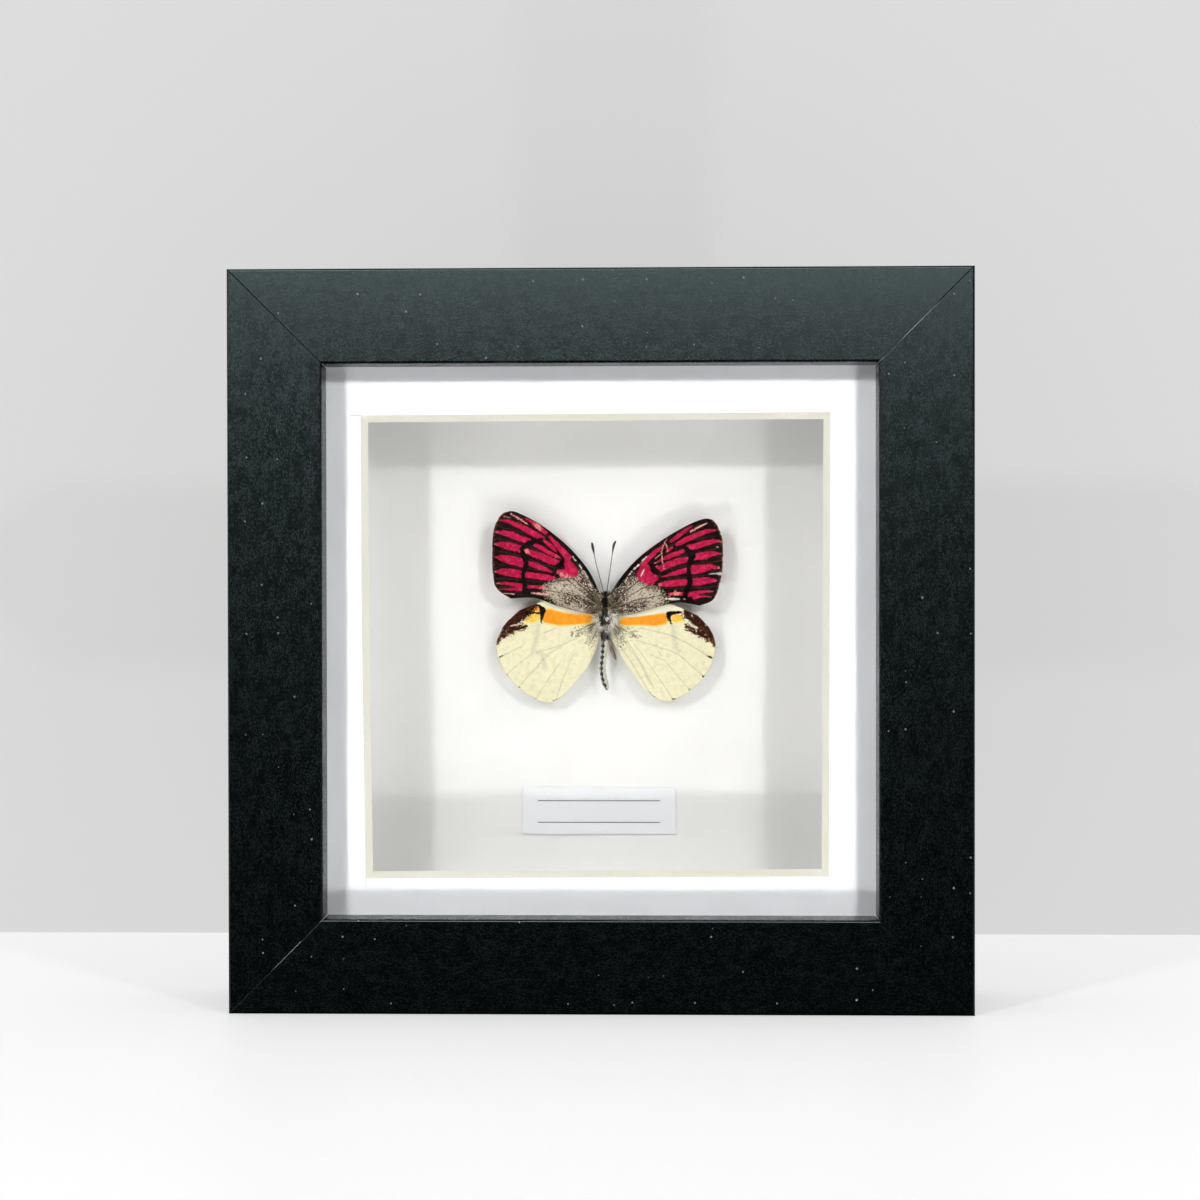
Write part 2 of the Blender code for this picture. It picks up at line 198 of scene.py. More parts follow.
class Nodes:
    """A material or a shader group in the making, with short ways to add to it."""

    def __init__(self, tree):
        self.tree = tree

    def give(self, socket, value):
        """Links a socket to another socket, or sets it to a number, a vector or a colour."""
        if isinstance(value, bpy.types.NodeSocket):
            self.tree.links.new(value, socket)
        else:
            socket.default_value = (*value, 1) if socket.type == "RGBA" else value

    def add(self, kind, inputs=None, **settings):
        """Adds a node and gives it its settings and its inputs."""
        node = self.tree.nodes.new("ShaderNode" + kind)
        for label, value in settings.items():
            setattr(node, label, value)
        for label, value in (inputs or {}).items():
            self.give(node.inputs[label], value)
        return node

    def calc(self, operation, *values):
        return self.add("Math", dict(enumerate(values)), operation=operation).outputs[0]

    def noise(self, spot, scale, detail=2.0, roughness=0.5):
        return self.add("TexNoise", {"Vector": spot, "Scale": scale, "Detail": detail,
                                     "Roughness": roughness}).outputs["Fac"]

    def cells(self, spot, scale, **settings):
        """Random cells: the distance from each one's middle, and its own random numbers."""
        made = self.add("TexVoronoi", {"Vector": spot, "Scale": scale}, **settings).outputs
        return made["Distance"], self.add("SeparateColor", {0: made["Color"]}).outputs

    def remap(self, value, low, high, to_low=0.0, to_high=1.0):
        """Takes low..high to to_low..to_high smoothly, clamped outside."""
        ends = {"From Min": low, "From Max": high, "To Min": to_low, "To Max": to_high}
        return self.add("MapRange", {"Value": value, **ends},
                        interpolation_type="SMOOTHSTEP").outputs["Result"]

    def mix(self, share, first, second):
        return self.add("Mix", {0: share, 6: first, 7: second}, data_type="RGBA").outputs[2]

    def split(self, vector):
        return self.add("SeparateXYZ", {0: vector}).outputs

    def normal(self):
        return self.split(self.add("NewGeometry").outputs["Normal"])

    def attribute(self, label):
        return self.add("Attribute", attribute_name=label).outputs["Fac"]

    def spot(self, scale=(1, 1, 1)):
        """Object coordinates, stretched by scale."""
        source = self.add("TexCoord").outputs["Object"]
        return self.add("Mapping", {"Vector": source, "Scale": scale}).outputs["Vector"]

    def use(self, group, **inputs):
        """Places a shader group with its own values and returns its outputs."""
        return self.add("Group", inputs, node_tree=group.tree).outputs


class Group(Nodes):
    """A shader group that several materials share, with named inputs and outputs."""

    def __init__(self, name, inputs, outputs):
        super().__init__(bpy.data.node_groups.new(name, "ShaderNodeTree"))
        sockets = self.tree.interface
        for label, value in inputs.items():
            kind = "Vector" if isinstance(value, tuple) else "Float"
            made = sockets.new_socket(label, in_out="INPUT", socket_type=f"NodeSocket{kind}")
            made.default_value = value
        for label in outputs:
            sockets.new_socket(label, in_out="OUTPUT", socket_type="NodeSocketFloat")
        self.given = self.tree.nodes.new("NodeGroupInput").outputs
        self.result = self.tree.nodes.new("NodeGroupOutput").inputs

    def put_out(self, **values):
        for label, value in values.items():
            self.give(self.result[label], value)


class Finish(Nodes):
    """A material with one Principled shader."""

    def __init__(self, name, colour, roughness, metallic=0.0):
        self.material = bpy.data.materials.new(name)
        self.material.use_nodes = True
        super().__init__(self.material.node_tree)
        self.shader = self.tree.nodes["Principled BSDF"]
        self.look(Base_Color=colour, Roughness=roughness, Metallic=metallic)

    def look(self, **values):
        """Gives the shader its values, an underscore standing for a space."""
        for label, value in values.items():
            self.give(self.shader.inputs[label.replace("_", " ")], value)

    def relief(self, height, distance, strength=1.0):
        """Raises the surface where a height says so."""
        raised = self.add("Bump", {"Strength": strength, "Distance": distance, "Height": height})
        self.look(Normal=raised.outputs["Normal"])

    def two_tone(self, grain, low, high, light, dark):
        """Goes from a light to a dark tone as a grain rises."""
        return self.mix(self.remap(grain, low, high), light, dark)

    def sheen(self, grain, low, high):
        """Lets the roughness follow a grain."""
        self.look(Roughness=self.remap(grain, 0.3, 0.7, low, high))

    def clear_where(self, condition):
        """Lets rays straight through where a condition holds."""
        clear = self.add("BsdfTransparent").outputs[0]
        which = self.add("MixShader", {0: condition, 1: self.shader.outputs[0], 2: clear})
        self.give(self.tree.nodes["Material Output"].inputs["Surface"], which.outputs[0])


# Fine pale specks of dust, thinly and unevenly scattered over the front faces.
dust_specks = Group("dust_specks", {"Place": (0, 0, 0), "Spacing": 400.0, "Size": 0.1}, ["Specks"])
across, _, upward = dust_specks.split(dust_specks.given["Place"])
flat = dust_specks.add("CombineXYZ", {"X": across, "Y": upward}).outputs[0]
away, chance = dust_specks.cells(flat, dust_specks.given["Spacing"], voronoi_dimensions="2D")
kept = dust_specks.calc("GREATER_THAN", chance[0], 0.86)
size = dust_specks.calc("MULTIPLY", dust_specks.given["Size"], chance[1])
shown = dust_specks.calc("MULTIPLY", dust_specks.calc("LESS_THAN", away, size), kept)
front = dust_specks.calc("LESS_THAN", dust_specks.normal()["Y"], -0.8)
dust_specks.put_out(Specks=dust_specks.calc("MULTIPLY", shown, front))

# A pressed grain: fine granules, a little longer along the rail, over a cloudy mottle.
pressed_grain = Group("pressed_grain", {"Place": (0, 0, 0)}, ["Granules", "Satin"])
fine = pressed_grain.noise(pressed_grain.given["Place"], 1.0, 3.0, 0.75)
coarse = pressed_grain.noise(pressed_grain.given["Place"], 0.12, 4.0, 0.65)
satin = pressed_grain.calc("MULTIPLY_ADD", coarse, 0.4, fine)
pressed_grain.put_out(Granules=fine, Satin=satin)

FOIL_BLACK = (0.0003, 0.0006, 0.0008)
FOIL_WORN = (0.0009, 0.0016, 0.0020)
FOIL_SHEEN = (0.74, 1.0, 1.0)
DUST_GREY = (0.13, 0.14, 0.15)


def black_foil(name, scale):
    """Satin black foil whose grain runs along the rail."""
    foil = Finish(name, FOIL_BLACK, 0.4)
    grain = foil.use(pressed_grain, Place=foil.spot(scale))
    dust = foil.use(dust_specks, Place=foil.spot(), Spacing=300.0, Size=0.075)
    body = foil.two_tone(grain["Granules"], 0.4, 0.7, FOIL_BLACK, FOIL_WORN)
    foil.look(Base_Color=foil.mix(dust["Specks"], body, DUST_GREY), Specular_Tint=FOIL_SHEEN,
              Roughness=foil.remap(grain["Satin"], 0.50, 0.90, 0.14, 0.31))
    foil.relief(grain["Granules"], 0.02 * MM, 0.6)
    return foil


foils = (
    black_foil("black_foil_across", (2500, 4300, 4300)),
    black_foil("black_foil_upright", (4300, 4300, 2500)),
)
rails = []
for turns, side in enumerate(("bottom", "right", "top", "left")):
    made = rail(turns)
    rails.append(finished(made, f"rail_{side}", "rail", [f"frame_rail_{side}"], foils[turns % 2]))

# ---------------------------------------------------------------------------------------------
# Glass. One pane of clear 2 mm picture glass with ground edges, dropped into the rebate from
# behind, against the lip. It is thin and clean, so it shows only a faint sheen.

glass = Finish("picture_glass", (1, 1, 1), 0.0)
glass.look(Transmission_Weight=1.0, IOR=1.45, Specular_IOR_Level=0.25)
glass.clear_where(glass.add("LightPath").outputs["Is Shadow Ray"])
pane = block(*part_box("glass_pane"))
bevel_edges(pane, 0.3 * MM)
finished(pane, "glass", "glass", ["glass_pane"], glass)

# ---------------------------------------------------------------------------------------------
# Window mat. White faced mount board with a cream core. The window is cut by hand at 45 degrees
# from the back, so the cream shows as a bright bevel and each cut runs a little past its corner.

MAT_LOW, MAT_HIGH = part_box("window_mat")
MAT_THICK = MAT_HIGH.y - MAT_LOW.y
WINDOW = [(-50.4 * MM, 124.9 * MM), (48.1 * MM, 125.3 * MM), (47.7 * MM, 28.1 * MM),
          (-49.6 * MM, 27.5 * MM)]  # clockwise from the top left
LEFT_BOW = (-50.3 * MM, 85.0 * MM)  # the left cut bends a little here
CUT_PAST = 0.5 * MM
OVERCUT = 2.2 * MM
CUT_WIDTH = 0.09 * MM
CUT_DEPTH = 0.35 * MM


def board_surface(name, face, core, roughness, grain_size, relief):
    """Fibrous paper or board; the core colour shows on faces cut at a slant."""
    board = Finish(name, face, roughness)
    spot = board.spot()
    fibres = board.noise(spot, grain_size, 5.0, 0.7)
    clouds = board.noise(spot, grain_size / 60, 2.0, 0.5)
    body = board.two_tone(clouds, 0.3, 0.7, face, tuple(c * 0.965 for c in face))
    if core:
        slant = board.remap(board.calc("ABSOLUTE", board.normal()["Y"]), 0.93, 0.8)
        rough_core = board.two_tone(fibres, 0.35, 0.65, core, tuple(c * 0.86 for c in core))
        body = board.mix(slant, body, rough_core)
    board.look(Base_Color=body)
    board.sheen(fibres, roughness - 0.08, roughness + 0.06)
    board.relief(fibres, relief)
    return board


def face_outwards(made):
    with editing(made):
        bpy.ops.mesh.normals_make_consistent(inside=False)


def window_ring(depth):
    """The window's outline at a depth into the mat, where the slanted cut narrows it."""
    middle_x = sum(x for x, _ in WINDOW) / 4
    middle_z = sum(z for _, z in WINDOW) / 4
    ring = []
    for x, z in WINDOW + [LEFT_BOW]:
        is_corner = abs(z - middle_z) > HALF / 2
        inward_z = depth * math.copysign(1, middle_z - z) if is_corner else 0
        inward_x = depth * math.copysign(1, middle_x - x)
        ring.append(Vector((x + inward_x, MAT_LOW.y + depth, z + inward_z)))
    return ring


def window_cutter():
    """A tapering prism through the mat that leaves the 45 degree bevel."""
    front_ring, back_ring = window_ring(-CUT_PAST), window_ring(MAT_THICK + CUT_PAST)
    cutter = start("circle", vertices=len(front_ring), fill_type="NGON")
    for vertex, spot in zip(cutter.data.vertices, front_ring):
        vertex.co = spot
    with editing(cutter):
        bpy.ops.mesh.extrude_region_move(TRANSFORM_OT_translate={"value": (0, MM, 0)})
    for vertex in cutter.data.vertices:
        if vertex.select:
            near = min(range(len(front_ring)), key=lambda i: (vertex.co - front_ring[i]).length)
            vertex.co = back_ring[near]
    face_outwards(cutter)
    return cutter


mount_board = board_surface(
    "mount_board", (0.90, 0.915, 0.935), (0.80, 0.785, 0.68), 0.88, 3800, 0.02 * MM
)
mat = block(MAT_LOW, MAT_HIGH)
subtract(mat, window_cutter())
round_cut = Vector((CUT_WIDTH / 2, 0, CUT_WIDTH / 2))
for (x, z), (way_x, way_z) in zip(WINDOW, ((-1, 0), (0, 1), (1, 0), (0, -1))):
    end_x, end_z = x + way_x * OVERCUT, z + way_z * OVERCUT
    low = Vector((min(x, end_x), MAT_LOW.y - MM, min(z, end_z)))
    high = Vector((max(x, end_x), MAT_LOW.y + CUT_DEPTH, max(z, end_z)))
    subtract(mat, block(low - round_cut, high + round_cut))
smooth_by_angle(mat, 20)
finished(mat, "mat", "mat", ["window_mat"], mount_board)

# ---------------------------------------------------------------------------------------------
# Spacers. Four strips of white foam board stand on edge in the rebate between the mat and the
# backing card. Their cut edges show the foam; a slip of paper faces them on both sides.

foam_board = board_surface("foam_board", (0.76, 0.76, 0.745), None, 0.85, 2600, 0.03 * MM)
for side in ("top", "bottom", "left", "right"):
    strip = block(*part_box(f"spacer_{side}"))
    bevel_edges(strip, 0.35 * MM)
    smooth_by_angle(strip)
    finished(strip, f"foam_spacer_{side}", "spacer", [f"spacer_{side}"], foam_board)

# ---------------------------------------------------------------------------------------------
# Backing card. A sheet of smooth white card, very slightly warm, that carries the specimen. It
# is held flat between the spacers and the backboard.

card_stock = board_surface("white_card", (0.87, 0.866, 0.845), None, 0.9, 3000, 0.012 * MM)
card = block(*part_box("backing_card"))
bevel_edges(card, 0.1 * MM)
finished(card, "card", "card", ["backing_card"], card_stock)

# ---------------------------------------------------------------------------------------------
# Backboard. Thin brown hardboard, smooth and speckled with its pressed fibres, with two holes
# for the hanger's rivets. It closes the rebate from behind.


def dress(names, finish):
    """Gives pieces that keep their first shape their real surface."""
    for name in names:
        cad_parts[name].data.materials.clear()
        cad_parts[name].data.materials.append(finish.material)


hardboard = Finish("hardboard", (0.24, 0.13, 0.07), 0.7)
spot = hardboard.spot()
flecks = hardboard.noise(spot, 1400, 6.0, 0.75)
clouds = hardboard.remap(hardboard.noise(spot, 60, 3.0, 0.5), 0.3, 0.75, 0, 0.4)
tone = hardboard.two_tone(flecks, 0.38, 0.66, (0.13, 0.065, 0.032), (0.30, 0.175, 0.095))
hardboard.look(Base_Color=hardboard.mix(clouds, tone, (0.36, 0.23, 0.14)))
hardboard.sheen(flecks, 0.55, 0.8)
hardboard.relief(flecks, 0.04 * MM)
dress(["backboard"], hardboard)

# ---------------------------------------------------------------------------------------------
# Back tabs, hanger and rivets. The tabs are punched from zinc plated strip, pushed into the
# rails and bent flat over the board; the saw toothed hanger is riveted on in the recess.

zinc = Finish("zinc_plate", (0.58, 0.58, 0.56), 0.34, metallic=1.0)
_, spangle = zinc.cells(zinc.spot(), 900)
scuffs = zinc.noise(zinc.spot((400, 400, 3000)), 1.0, 4.0, 0.6)
zinc.look(Base_Color=zinc.mix(spangle[0], (0.46, 0.47, 0.46), (0.66, 0.66, 0.63)))
zinc.sheen(scuffs, 0.24, 0.5)
zinc.relief(scuffs, 0.02 * MM, 0.6)
tabs = [f"back_tab_{i}" for i in range(1, 9)]
dress(tabs + ["sawtooth_hanger", "hanger_rivet_left", "hanger_rivet_right"], zinc)

# ---------------------------------------------------------------------------------------------
# Label. A slip of smooth, slightly blue white paper glued flat to the card below the insect. It
# is left blank but for two fine ruled lines.

LABEL_LOW, LABEL_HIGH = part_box("name_label")
RULE_HALF_WIDTH = 0.1 * MM
UNDER_LIFT = Vector((0, 0.12 * MM, 0))
GLUED_DOWN = Vector((0, 0.28 * MM, 0))

paper = Finish("label_paper", (0.90, 0.915, 0.935), 0.7)
spot = paper.spot()
fibres = paper.noise(spot, 4200, 4.0, 0.65)
beside, _, height = paper.split(spot)
middle, half = (LABEL_LOW + LABEL_HIGH) / 2, (LABEL_HIGH - LABEL_LOW) / 2
rules = []
for rule in (middle.z + 0.42 * half.z, middle.z - 0.5 * half.z):
    off = paper.calc("ABSOLUTE", paper.calc("SUBTRACT", height, rule))
    rules.append(paper.remap(off, RULE_HALF_WIDTH * 1.2, RULE_HALF_WIDTH * 0.8))
off = paper.calc("ABSOLUTE", paper.calc("SUBTRACT", beside, middle.x))
within = paper.calc("LESS_THAN", off, 0.8 * half.x)
ink = paper.calc("MULTIPLY", paper.calc("MAXIMUM", *rules), within)
tone = paper.two_tone(fibres, 0.3, 0.7, (0.86, 0.87, 0.885), (0.84, 0.85, 0.865))
paper.look(Base_Color=paper.mix(ink, tone, (0.12, 0.12, 0.13)))
paper.sheen(fibres, 0.6, 0.75)
paper.relief(fibres, 0.01 * MM)
slip = block(LABEL_LOW + UNDER_LIFT, LABEL_HIGH + GLUED_DOWN)
bevel_edges(slip, 0.03 * MM)
finished(slip, "label", "label", ["name_label"], paper)

# ---------------------------------------------------------------------------------------------
# Mounting block. A small white foam riser glued between the card and the underside of the
# thorax, which holds the wings a few millimetres clear of the card.

BLOCK_LOW, BLOCK_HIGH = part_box("mounting_block")
riser = block(BLOCK_LOW, BLOCK_HIGH + GLUED_DOWN)
bevel_edges(riser, 0.2 * MM)
smooth_by_angle(riser)
finished(riser, "riser", "spacer", ["mounting_block"], foam_board)

# ---------------------------------------------------------------------------------------------
# Wings. Four thin membranes stiffened by branching veins and covered with overlapping scales.
# They are set spread and dried, the forewings over the hindwings. Points are millimetres from
# the middle of the thorax. A mark is a chain of (x, z, half width), or of (x, z) where it is as
# fine as a vein; each wing keeps how far inside its marks every point lies, for the scales.

THORAX = Vector((0.33, 0, 83.2)) * MM
WING_DEPTHS = {"fore": 24.0 * MM, "hind": 24.6 * MM}
WING_CAMBERS = {"fore": 1.0, "hind": 0.3}
WING_THICK = 0.05 * MM
WING_CELLS = 168
FRINGE_DEPTH = 0.16
FRINGE_SEED = 5
VEIN_HALF_WIDTH = 0.06
FAR = -9.0


def wing_point(x, depth, z):
    """A point from millimetres beside and above the thorax and a depth in metres."""
    return place(THORAX.x + x * MM, depth, THORAX.z + z * MM)


def curve_through(points, count):
    """Evenly spaced points along a smooth curve through a few."""
    p = np.array(points, float)
    ends = np.vstack([2 * p[0] - p[1], p, 2 * p[-1] - p[-2]])
    t = np.linspace(0, 1, 24, endpoint=False)[:, None]
    pieces = []
    for a, b, c, d in zip(ends, ends[1:], ends[2:], ends[3:]):
        pieces.append(0.5 * (2 * b + (c - a) * t + (2 * a - 5 * b + 4 * c - d) * t ** 2
                             + (3 * b - a - 3 * c + d) * t ** 3))
    dense = np.vstack(pieces + [p[-1:]])
    run = np.concatenate([[0], np.cumsum(np.linalg.norm(np.diff(dense, axis=0), axis=1))])
    at = np.linspace(0, run[-1], count)
    return np.column_stack([np.interp(at, run, dense[:, k]) for k in (0, 1)])


def inside_marks(spots, marks):
    """How far, in millimetres, each spot lies inside the nearest mark; negative outside."""
    best = np.full(len(spots), FAR)
    for mark in marks:
        mark = [(*point, VEIN_HALF_WIDTH)[:3] for point in mark]
        for (ax, az, ar), (bx, bz, br) in list(zip(mark, mark[1:])) or [(mark[0], mark[0])]:
            a = np.array([ax, az])
            along = np.array([bx - ax, bz - az])
            share = np.clip((spots - a) @ along / max(along @ along, 1e-9), 0, 1)
            off = np.linalg.norm(spots - a - share[:, None] * along, axis=1)
            best = np.maximum(best, ar + (br - ar) * share - off)
    return best


def keep(made, label, values):
    """Stores one number for each point of a piece, for its material to follow."""
    stored = made.data.attributes.new(label, "FLOAT", "POINT")
    stored.data.foreach_set("value", values.astype(np.float32))


def add_wing(pair, side, scales, edges, marks, tears=()):
    """A grid drawn to four edge curves: leading, outer, inner and root; tears are cut away."""
    lead, outer, inner, root = (curve_through(points, WING_CELLS + 1) for points in edges)
    frayed = np.random.default_rng(FRINGE_SEED).uniform(0, FRINGE_DEPTH, WING_CELLS - 1)
    outer[1:-1] -= frayed[:, None] * np.sign(outer[1:-1] - root[1:-1]) * (1, 0)
    made = start("grid", x_subdivisions=WING_CELLS, y_subdivisions=WING_CELLS, size=1)
    steps = np.linspace(0, 1, WING_CELLS + 1)
    u, v = (share[..., None] for share in np.meshgrid(steps, steps))
    i, j = (np.rint(share[..., 0] * WING_CELLS).astype(int) for share in (u, v))
    spots = ((1 - v) * lead[i] + v * inner[i] + (1 - u) * root[j] + u * outer[j]
             - (1 - u) * (1 - v) * lead[0] - u * (1 - v) * lead[-1]
             - (1 - u) * v * inner[0] - u * v * inner[-1]).reshape(-1, 2)
    u, v = u.ravel(), v.ravel()
    bow = np.sin(math.pi * v) * (0.35 + 0.65 * u) * 0.35 + 0.5 * u ** 2
    pleat = 0.035 * np.sin(2 * math.pi * 7 * v) * np.minimum(u * 3, 1)
    ripple = 0.05 * np.sin(5.3 * spots[:, 0] / 6 + 1.7) * np.sin(4.1 * spots[:, 1] / 6)
    ridge = 0.05 * np.exp(-((0.06 - inside_marks(spots, marks["vein"])) / 0.13) ** 2)
    lift = (WING_CAMBERS[pair] * bow + pleat + ripple + ridge) * MM
    co = np.column_stack([THORAX.x + spots[:, 0] * MM, FRONT + WING_DEPTHS[pair] - lift,
                          THORAX.z + spots[:, 1] * MM])
    made.data.vertices.foreach_set("co", co.astype(np.float32).ravel())
    for label, chains in marks.items():
        keep(made, label, inside_marks(spots, chains))
    keep(made, "along", u)
    keep(made, "across", v)
    middle = WING_CELLS // 2
    keep(made, "rim", -(1 - u) * np.linalg.norm(outer[middle] - root[middle]))
    face_outwards(made)
    if made.data.polygons[0].normal.y > 0:
        made.data.flip_normals()
    if tears:
        centres = np.array([tuple(face.center) for face in made.data.polygons])
        torn = inside_marks((centres[:, (0, 2)] - np.array([THORAX.x, THORAX.z])) / MM, tears) > 0
        choose(made, "FACE", made.data.polygons, lambda face: torn[face.index])
        with editing(made, "FACE", None):
            bpy.ops.mesh.delete(type="FACE")
    apply(made, "SOLIDIFY", thickness=WING_THICK, offset=-1)
    bpy.ops.object.shade_smooth()
    finished(made, f"wing_{pair}_{side}", f"{pair}wing", [f"{pair}wing_{side}"], scales)


# Rows of overlapping scales: flecks, streaks along the veins, patches and a ragged edge.
wing_scales = Group("wing_scales", {"Place": (0, 0, 0), "Along": 0.0, "Across": 0.0, "Size": 5500.0},
                    ["Flecks", "Streaks", "Patches", "Ragged", "Height"])
spot, along, across, size = wing_scales.given[:4]
height, tone = wing_scales.cells(spot, size)
rows = wing_scales.add("CombineXYZ", {"X": wing_scales.calc("MULTIPLY", along, 52.0),
                                      "Y": wing_scales.calc("MULTIPLY", across, 105.0)})
_, long_tone = wing_scales.cells(rows.outputs[0], 1.0, voronoi_dimensions="2D")
ragged = wing_scales.calc("SUBTRACT", wing_scales.noise(spot, 3200, 3.0, 0.7), 0.5)
torn = wing_scales.calc("MULTIPLY_ADD", tone[0], 0.3, -0.15)
wing_scales.put_out(Flecks=tone[0], Streaks=long_tone[0], Height=height,
                    Patches=wing_scales.noise(spot, 900, 3.0, 0.6),
                    Ragged=wing_scales.calc("MULTIPLY_ADD", ragged, 1.5, torn))

# Turns a distance inside a mark into its coverage, with a ragged, slightly soft edge.
mark_edge = Group("mark_edge", {"Distance": 0.0, "Ragged": 0.0, "Fray": 0.3, "Soft": 0.1}, ["Cover"])
distance, ragged, fray, soft = mark_edge.given[:4]
moved = mark_edge.calc("MULTIPLY_ADD", ragged, fray, distance)
mark_edge.put_out(Cover=mark_edge.remap(moved, mark_edge.calc("MULTIPLY", soft, -1.0), soft))

SCALE_SIZE = 5200
MATT_SPECULAR = 0.06
SCALE_BLACK = (0.0045, 0.0028, 0.0026)
SCALE_BROWN = (0.045, 0.016, 0.010)
CRIMSON = (0.40, 0.007, 0.052)
DEEP_RED = (0.20, 0.006, 0.022)
ROSE = (0.56, 0.025, 0.088)
SALMON = (0.68, 0.16, 0.13)
WORN_PINK = (0.66, 0.36, 0.31)
BEIGE = (0.55, 0.47, 0.365)
GREY_BEIGE = (0.32, 0.275, 0.205)
UMBER = (0.036, 0.018, 0.012)
CHALK = (0.66, 0.60, 0.50)
CREAM = (0.745, 0.705, 0.475)
CREAM_SHADE = (0.66, 0.625, 0.41)
CREAM_GREY = (0.52, 0.50, 0.35)
ORANGE = (0.78, 0.285, 0.018)
DEEP_ORANGE = (0.72, 0.235, 0.012)
YELLOW = (0.74, 0.43, 0.045)
FADED_YELLOW = (0.76, 0.60, 0.20)
APEX_BROWN = (0.026, 0.007, 0.004)
RUST = (0.13, 0.045, 0.014)
VEIN_GREY = (0.27, 0.25, 0.17)


class ScaleCoat(Finish):
    """A wing's covering of scales, one colour laid over another where its marks say."""

    def __init__(self, name, colour, roughness):
        super().__init__(name, colour, roughness)
        self.scales = self.use(wing_scales, Place=self.spot(), Size=SCALE_SIZE,
                               Along=self.attribute("along"), Across=self.attribute("across"))

    def cover(self, label, fray, soft, shift=0.0):
        """How much a mark covers: all inside, none outside, ragged and soft between."""
        distance = self.calc("ADD", self.attribute(label), shift)
        return self.use(mark_edge, Distance=distance, Ragged=self.scales["Ragged"], Fray=fray,
                        Soft=soft)["Cover"]

    def lay(self, label, colour, fray=0.3, soft=0.08, share=1.0, shift=0.0):
        cover = self.calc("MULTIPLY", self.cover(label, fray, soft, shift), share)
        self.colour = self.mix(cover, self.colour, colour)

    def sprinkle(self, label, colour, low, high, most, kind="Streaks"):
        """Single scales of a colour, none at distance low inside a mark and most at high."""
        density = self.remap(self.attribute(label), low, high, 0.0, most)
        left = self.calc("SUBTRACT", density, self.scales[kind])
        self.colour = self.mix(self.remap(left, 0.0, 0.06), self.colour, colour)

    def varied(self, kind, light, dark, low, high):
        """A colour that varies between two tones by scale, streak or patch."""
        return self.two_tone(self.scales[kind], low, high, light, dark)

    def settle(self, low, high, strength):
        roughness = self.remap(self.scales["Flecks"], 0, 1, low, high)
        self.look(Base_Color=self.colour, Roughness=roughness, Specular_IOR_Level=MATT_SPECULAR)
        self.relief(self.scales["Height"], 0.03 * MM, strength)


fore = ScaleCoat("forewing_scales", SCALE_BLACK, 0.62)
fore.colour = fore.varied("Flecks", SCALE_BLACK, SCALE_BROWN, 0.80, 0.92)
fore.sprinkle("ground", GREY_BEIGE, -1.9, 0.4, 0.75, "Flecks")
fore.lay("ground", fore.varied("Flecks", BEIGE, GREY_BEIGE, 0.1, 0.9), fray=2.6, soft=0.45, shift=-0.1)
fore.sprinkle("ground", UMBER, -2.4, 0.2, 0.12)
fore.sprinkle("mottle", UMBER, -2.2, 0.5, 0.62, "Flecks")
fore.sprinkle("mottle", UMBER, -1.4, 0.5, 0.40)
fore.sprinkle("mottle", CHALK, -1.0, 0.3, 0.10, "Flecks")
fore.lay("vein", UMBER, fray=0.25, soft=0.07, share=0.75, shift=0.05)
fore.sprinkle("rim", RUST, -0.75, 0.0, 0.5, "Flecks")
red = fore.varied("Patches", CRIMSON, ROSE, 0.44, 0.66)
red = fore.varied("Streaks", red, DEEP_RED, 0.55, 1.1)
red = fore.varied("Flecks", red, DEEP_RED, 0.75, 1.0)
fore.lay("red", red, fray=0.42, soft=0.08, shift=-0.03)
tips = fore.calc("MULTIPLY", fore.cover("red", 0.42, 0.08, -0.03), fore.cover("pale", 1.5, 0.4, -0.15))
fore.colour = fore.mix(tips, fore.colour, fore.varied("Flecks", SALMON, WORN_PINK, 0.5, 1.0))
fore.lay("black", SCALE_BLACK, fray=0.45)
fore.lay("worn", fore.varied("Streaks", WORN_PINK, SALMON, 0.3, 0.9), fray=0.5, soft=0.07)
fore.lay("white", CHALK, fray=0.5, soft=0.07)
fore.sprinkle("rim", CHALK, -0.16, 0.0, 0.45)
fore.settle(0.5, 0.72, 0.6)

hind = ScaleCoat("hindwing_scales", CREAM, 0.68)
hind.colour = hind.varied("Patches", CREAM, CREAM_SHADE, 0.42, 0.72)
hind.colour = hind.varied("Streaks", hind.colour, CREAM_GREY, 0.86, 1.15)
# Painted shade: a darker band of the cream along the crease by the inner edge, beside the abdomen.
hind.lay("fold_shade", (0.42, 0.37, 0.27), fray=1.0, soft=0.6, share=0.7)
hind.lay("shade", (0.47, 0.45, 0.33), fray=0.9, soft=0.5, share=0.55)
hind.lay("vein", VEIN_GREY, fray=0.2, soft=0.09, share=0.38, shift=0.05)
hind.sprinkle("hair", (0.11, 0.085, 0.055), -1.3, 0.7, 0.42)
hind.sprinkle("hair", GREY_BEIGE, -2.2, 0.8, 0.30, "Flecks")
hind.lay("orange", FADED_YELLOW, fray=0.6, soft=0.3, shift=0.40, share=0.85)
hind.lay("orange", YELLOW, fray=0.6, soft=0.2, shift=0.15)
hind.lay("yellow", FADED_YELLOW, fray=0.5, soft=0.3, shift=0.25)
hind.lay("yellow", hind.varied("Patches", YELLOW, FADED_YELLOW, 0.4, 0.8), fray=0.5, soft=0.14)
hind.lay("orange", hind.varied("Patches", ORANGE, DEEP_ORANGE, 0.4, 0.7), fray=0.5, soft=0.16)
hind.lay("pale_edge", (0.72, 0.69, 0.53), soft=0.15)
apex = hind.varied("Flecks", APEX_BROWN, RUST, 0.78, 1.0)
hind.lay("brown", apex, fray=0.7, soft=0.1, shift=0.26)
hind.sprinkle("brown", APEX_BROWN, -1.3, 0.0, 0.7, "Flecks")
hind.sprinkle("mottle", RUST, -1.0, 0.2, 0.8, "Flecks")
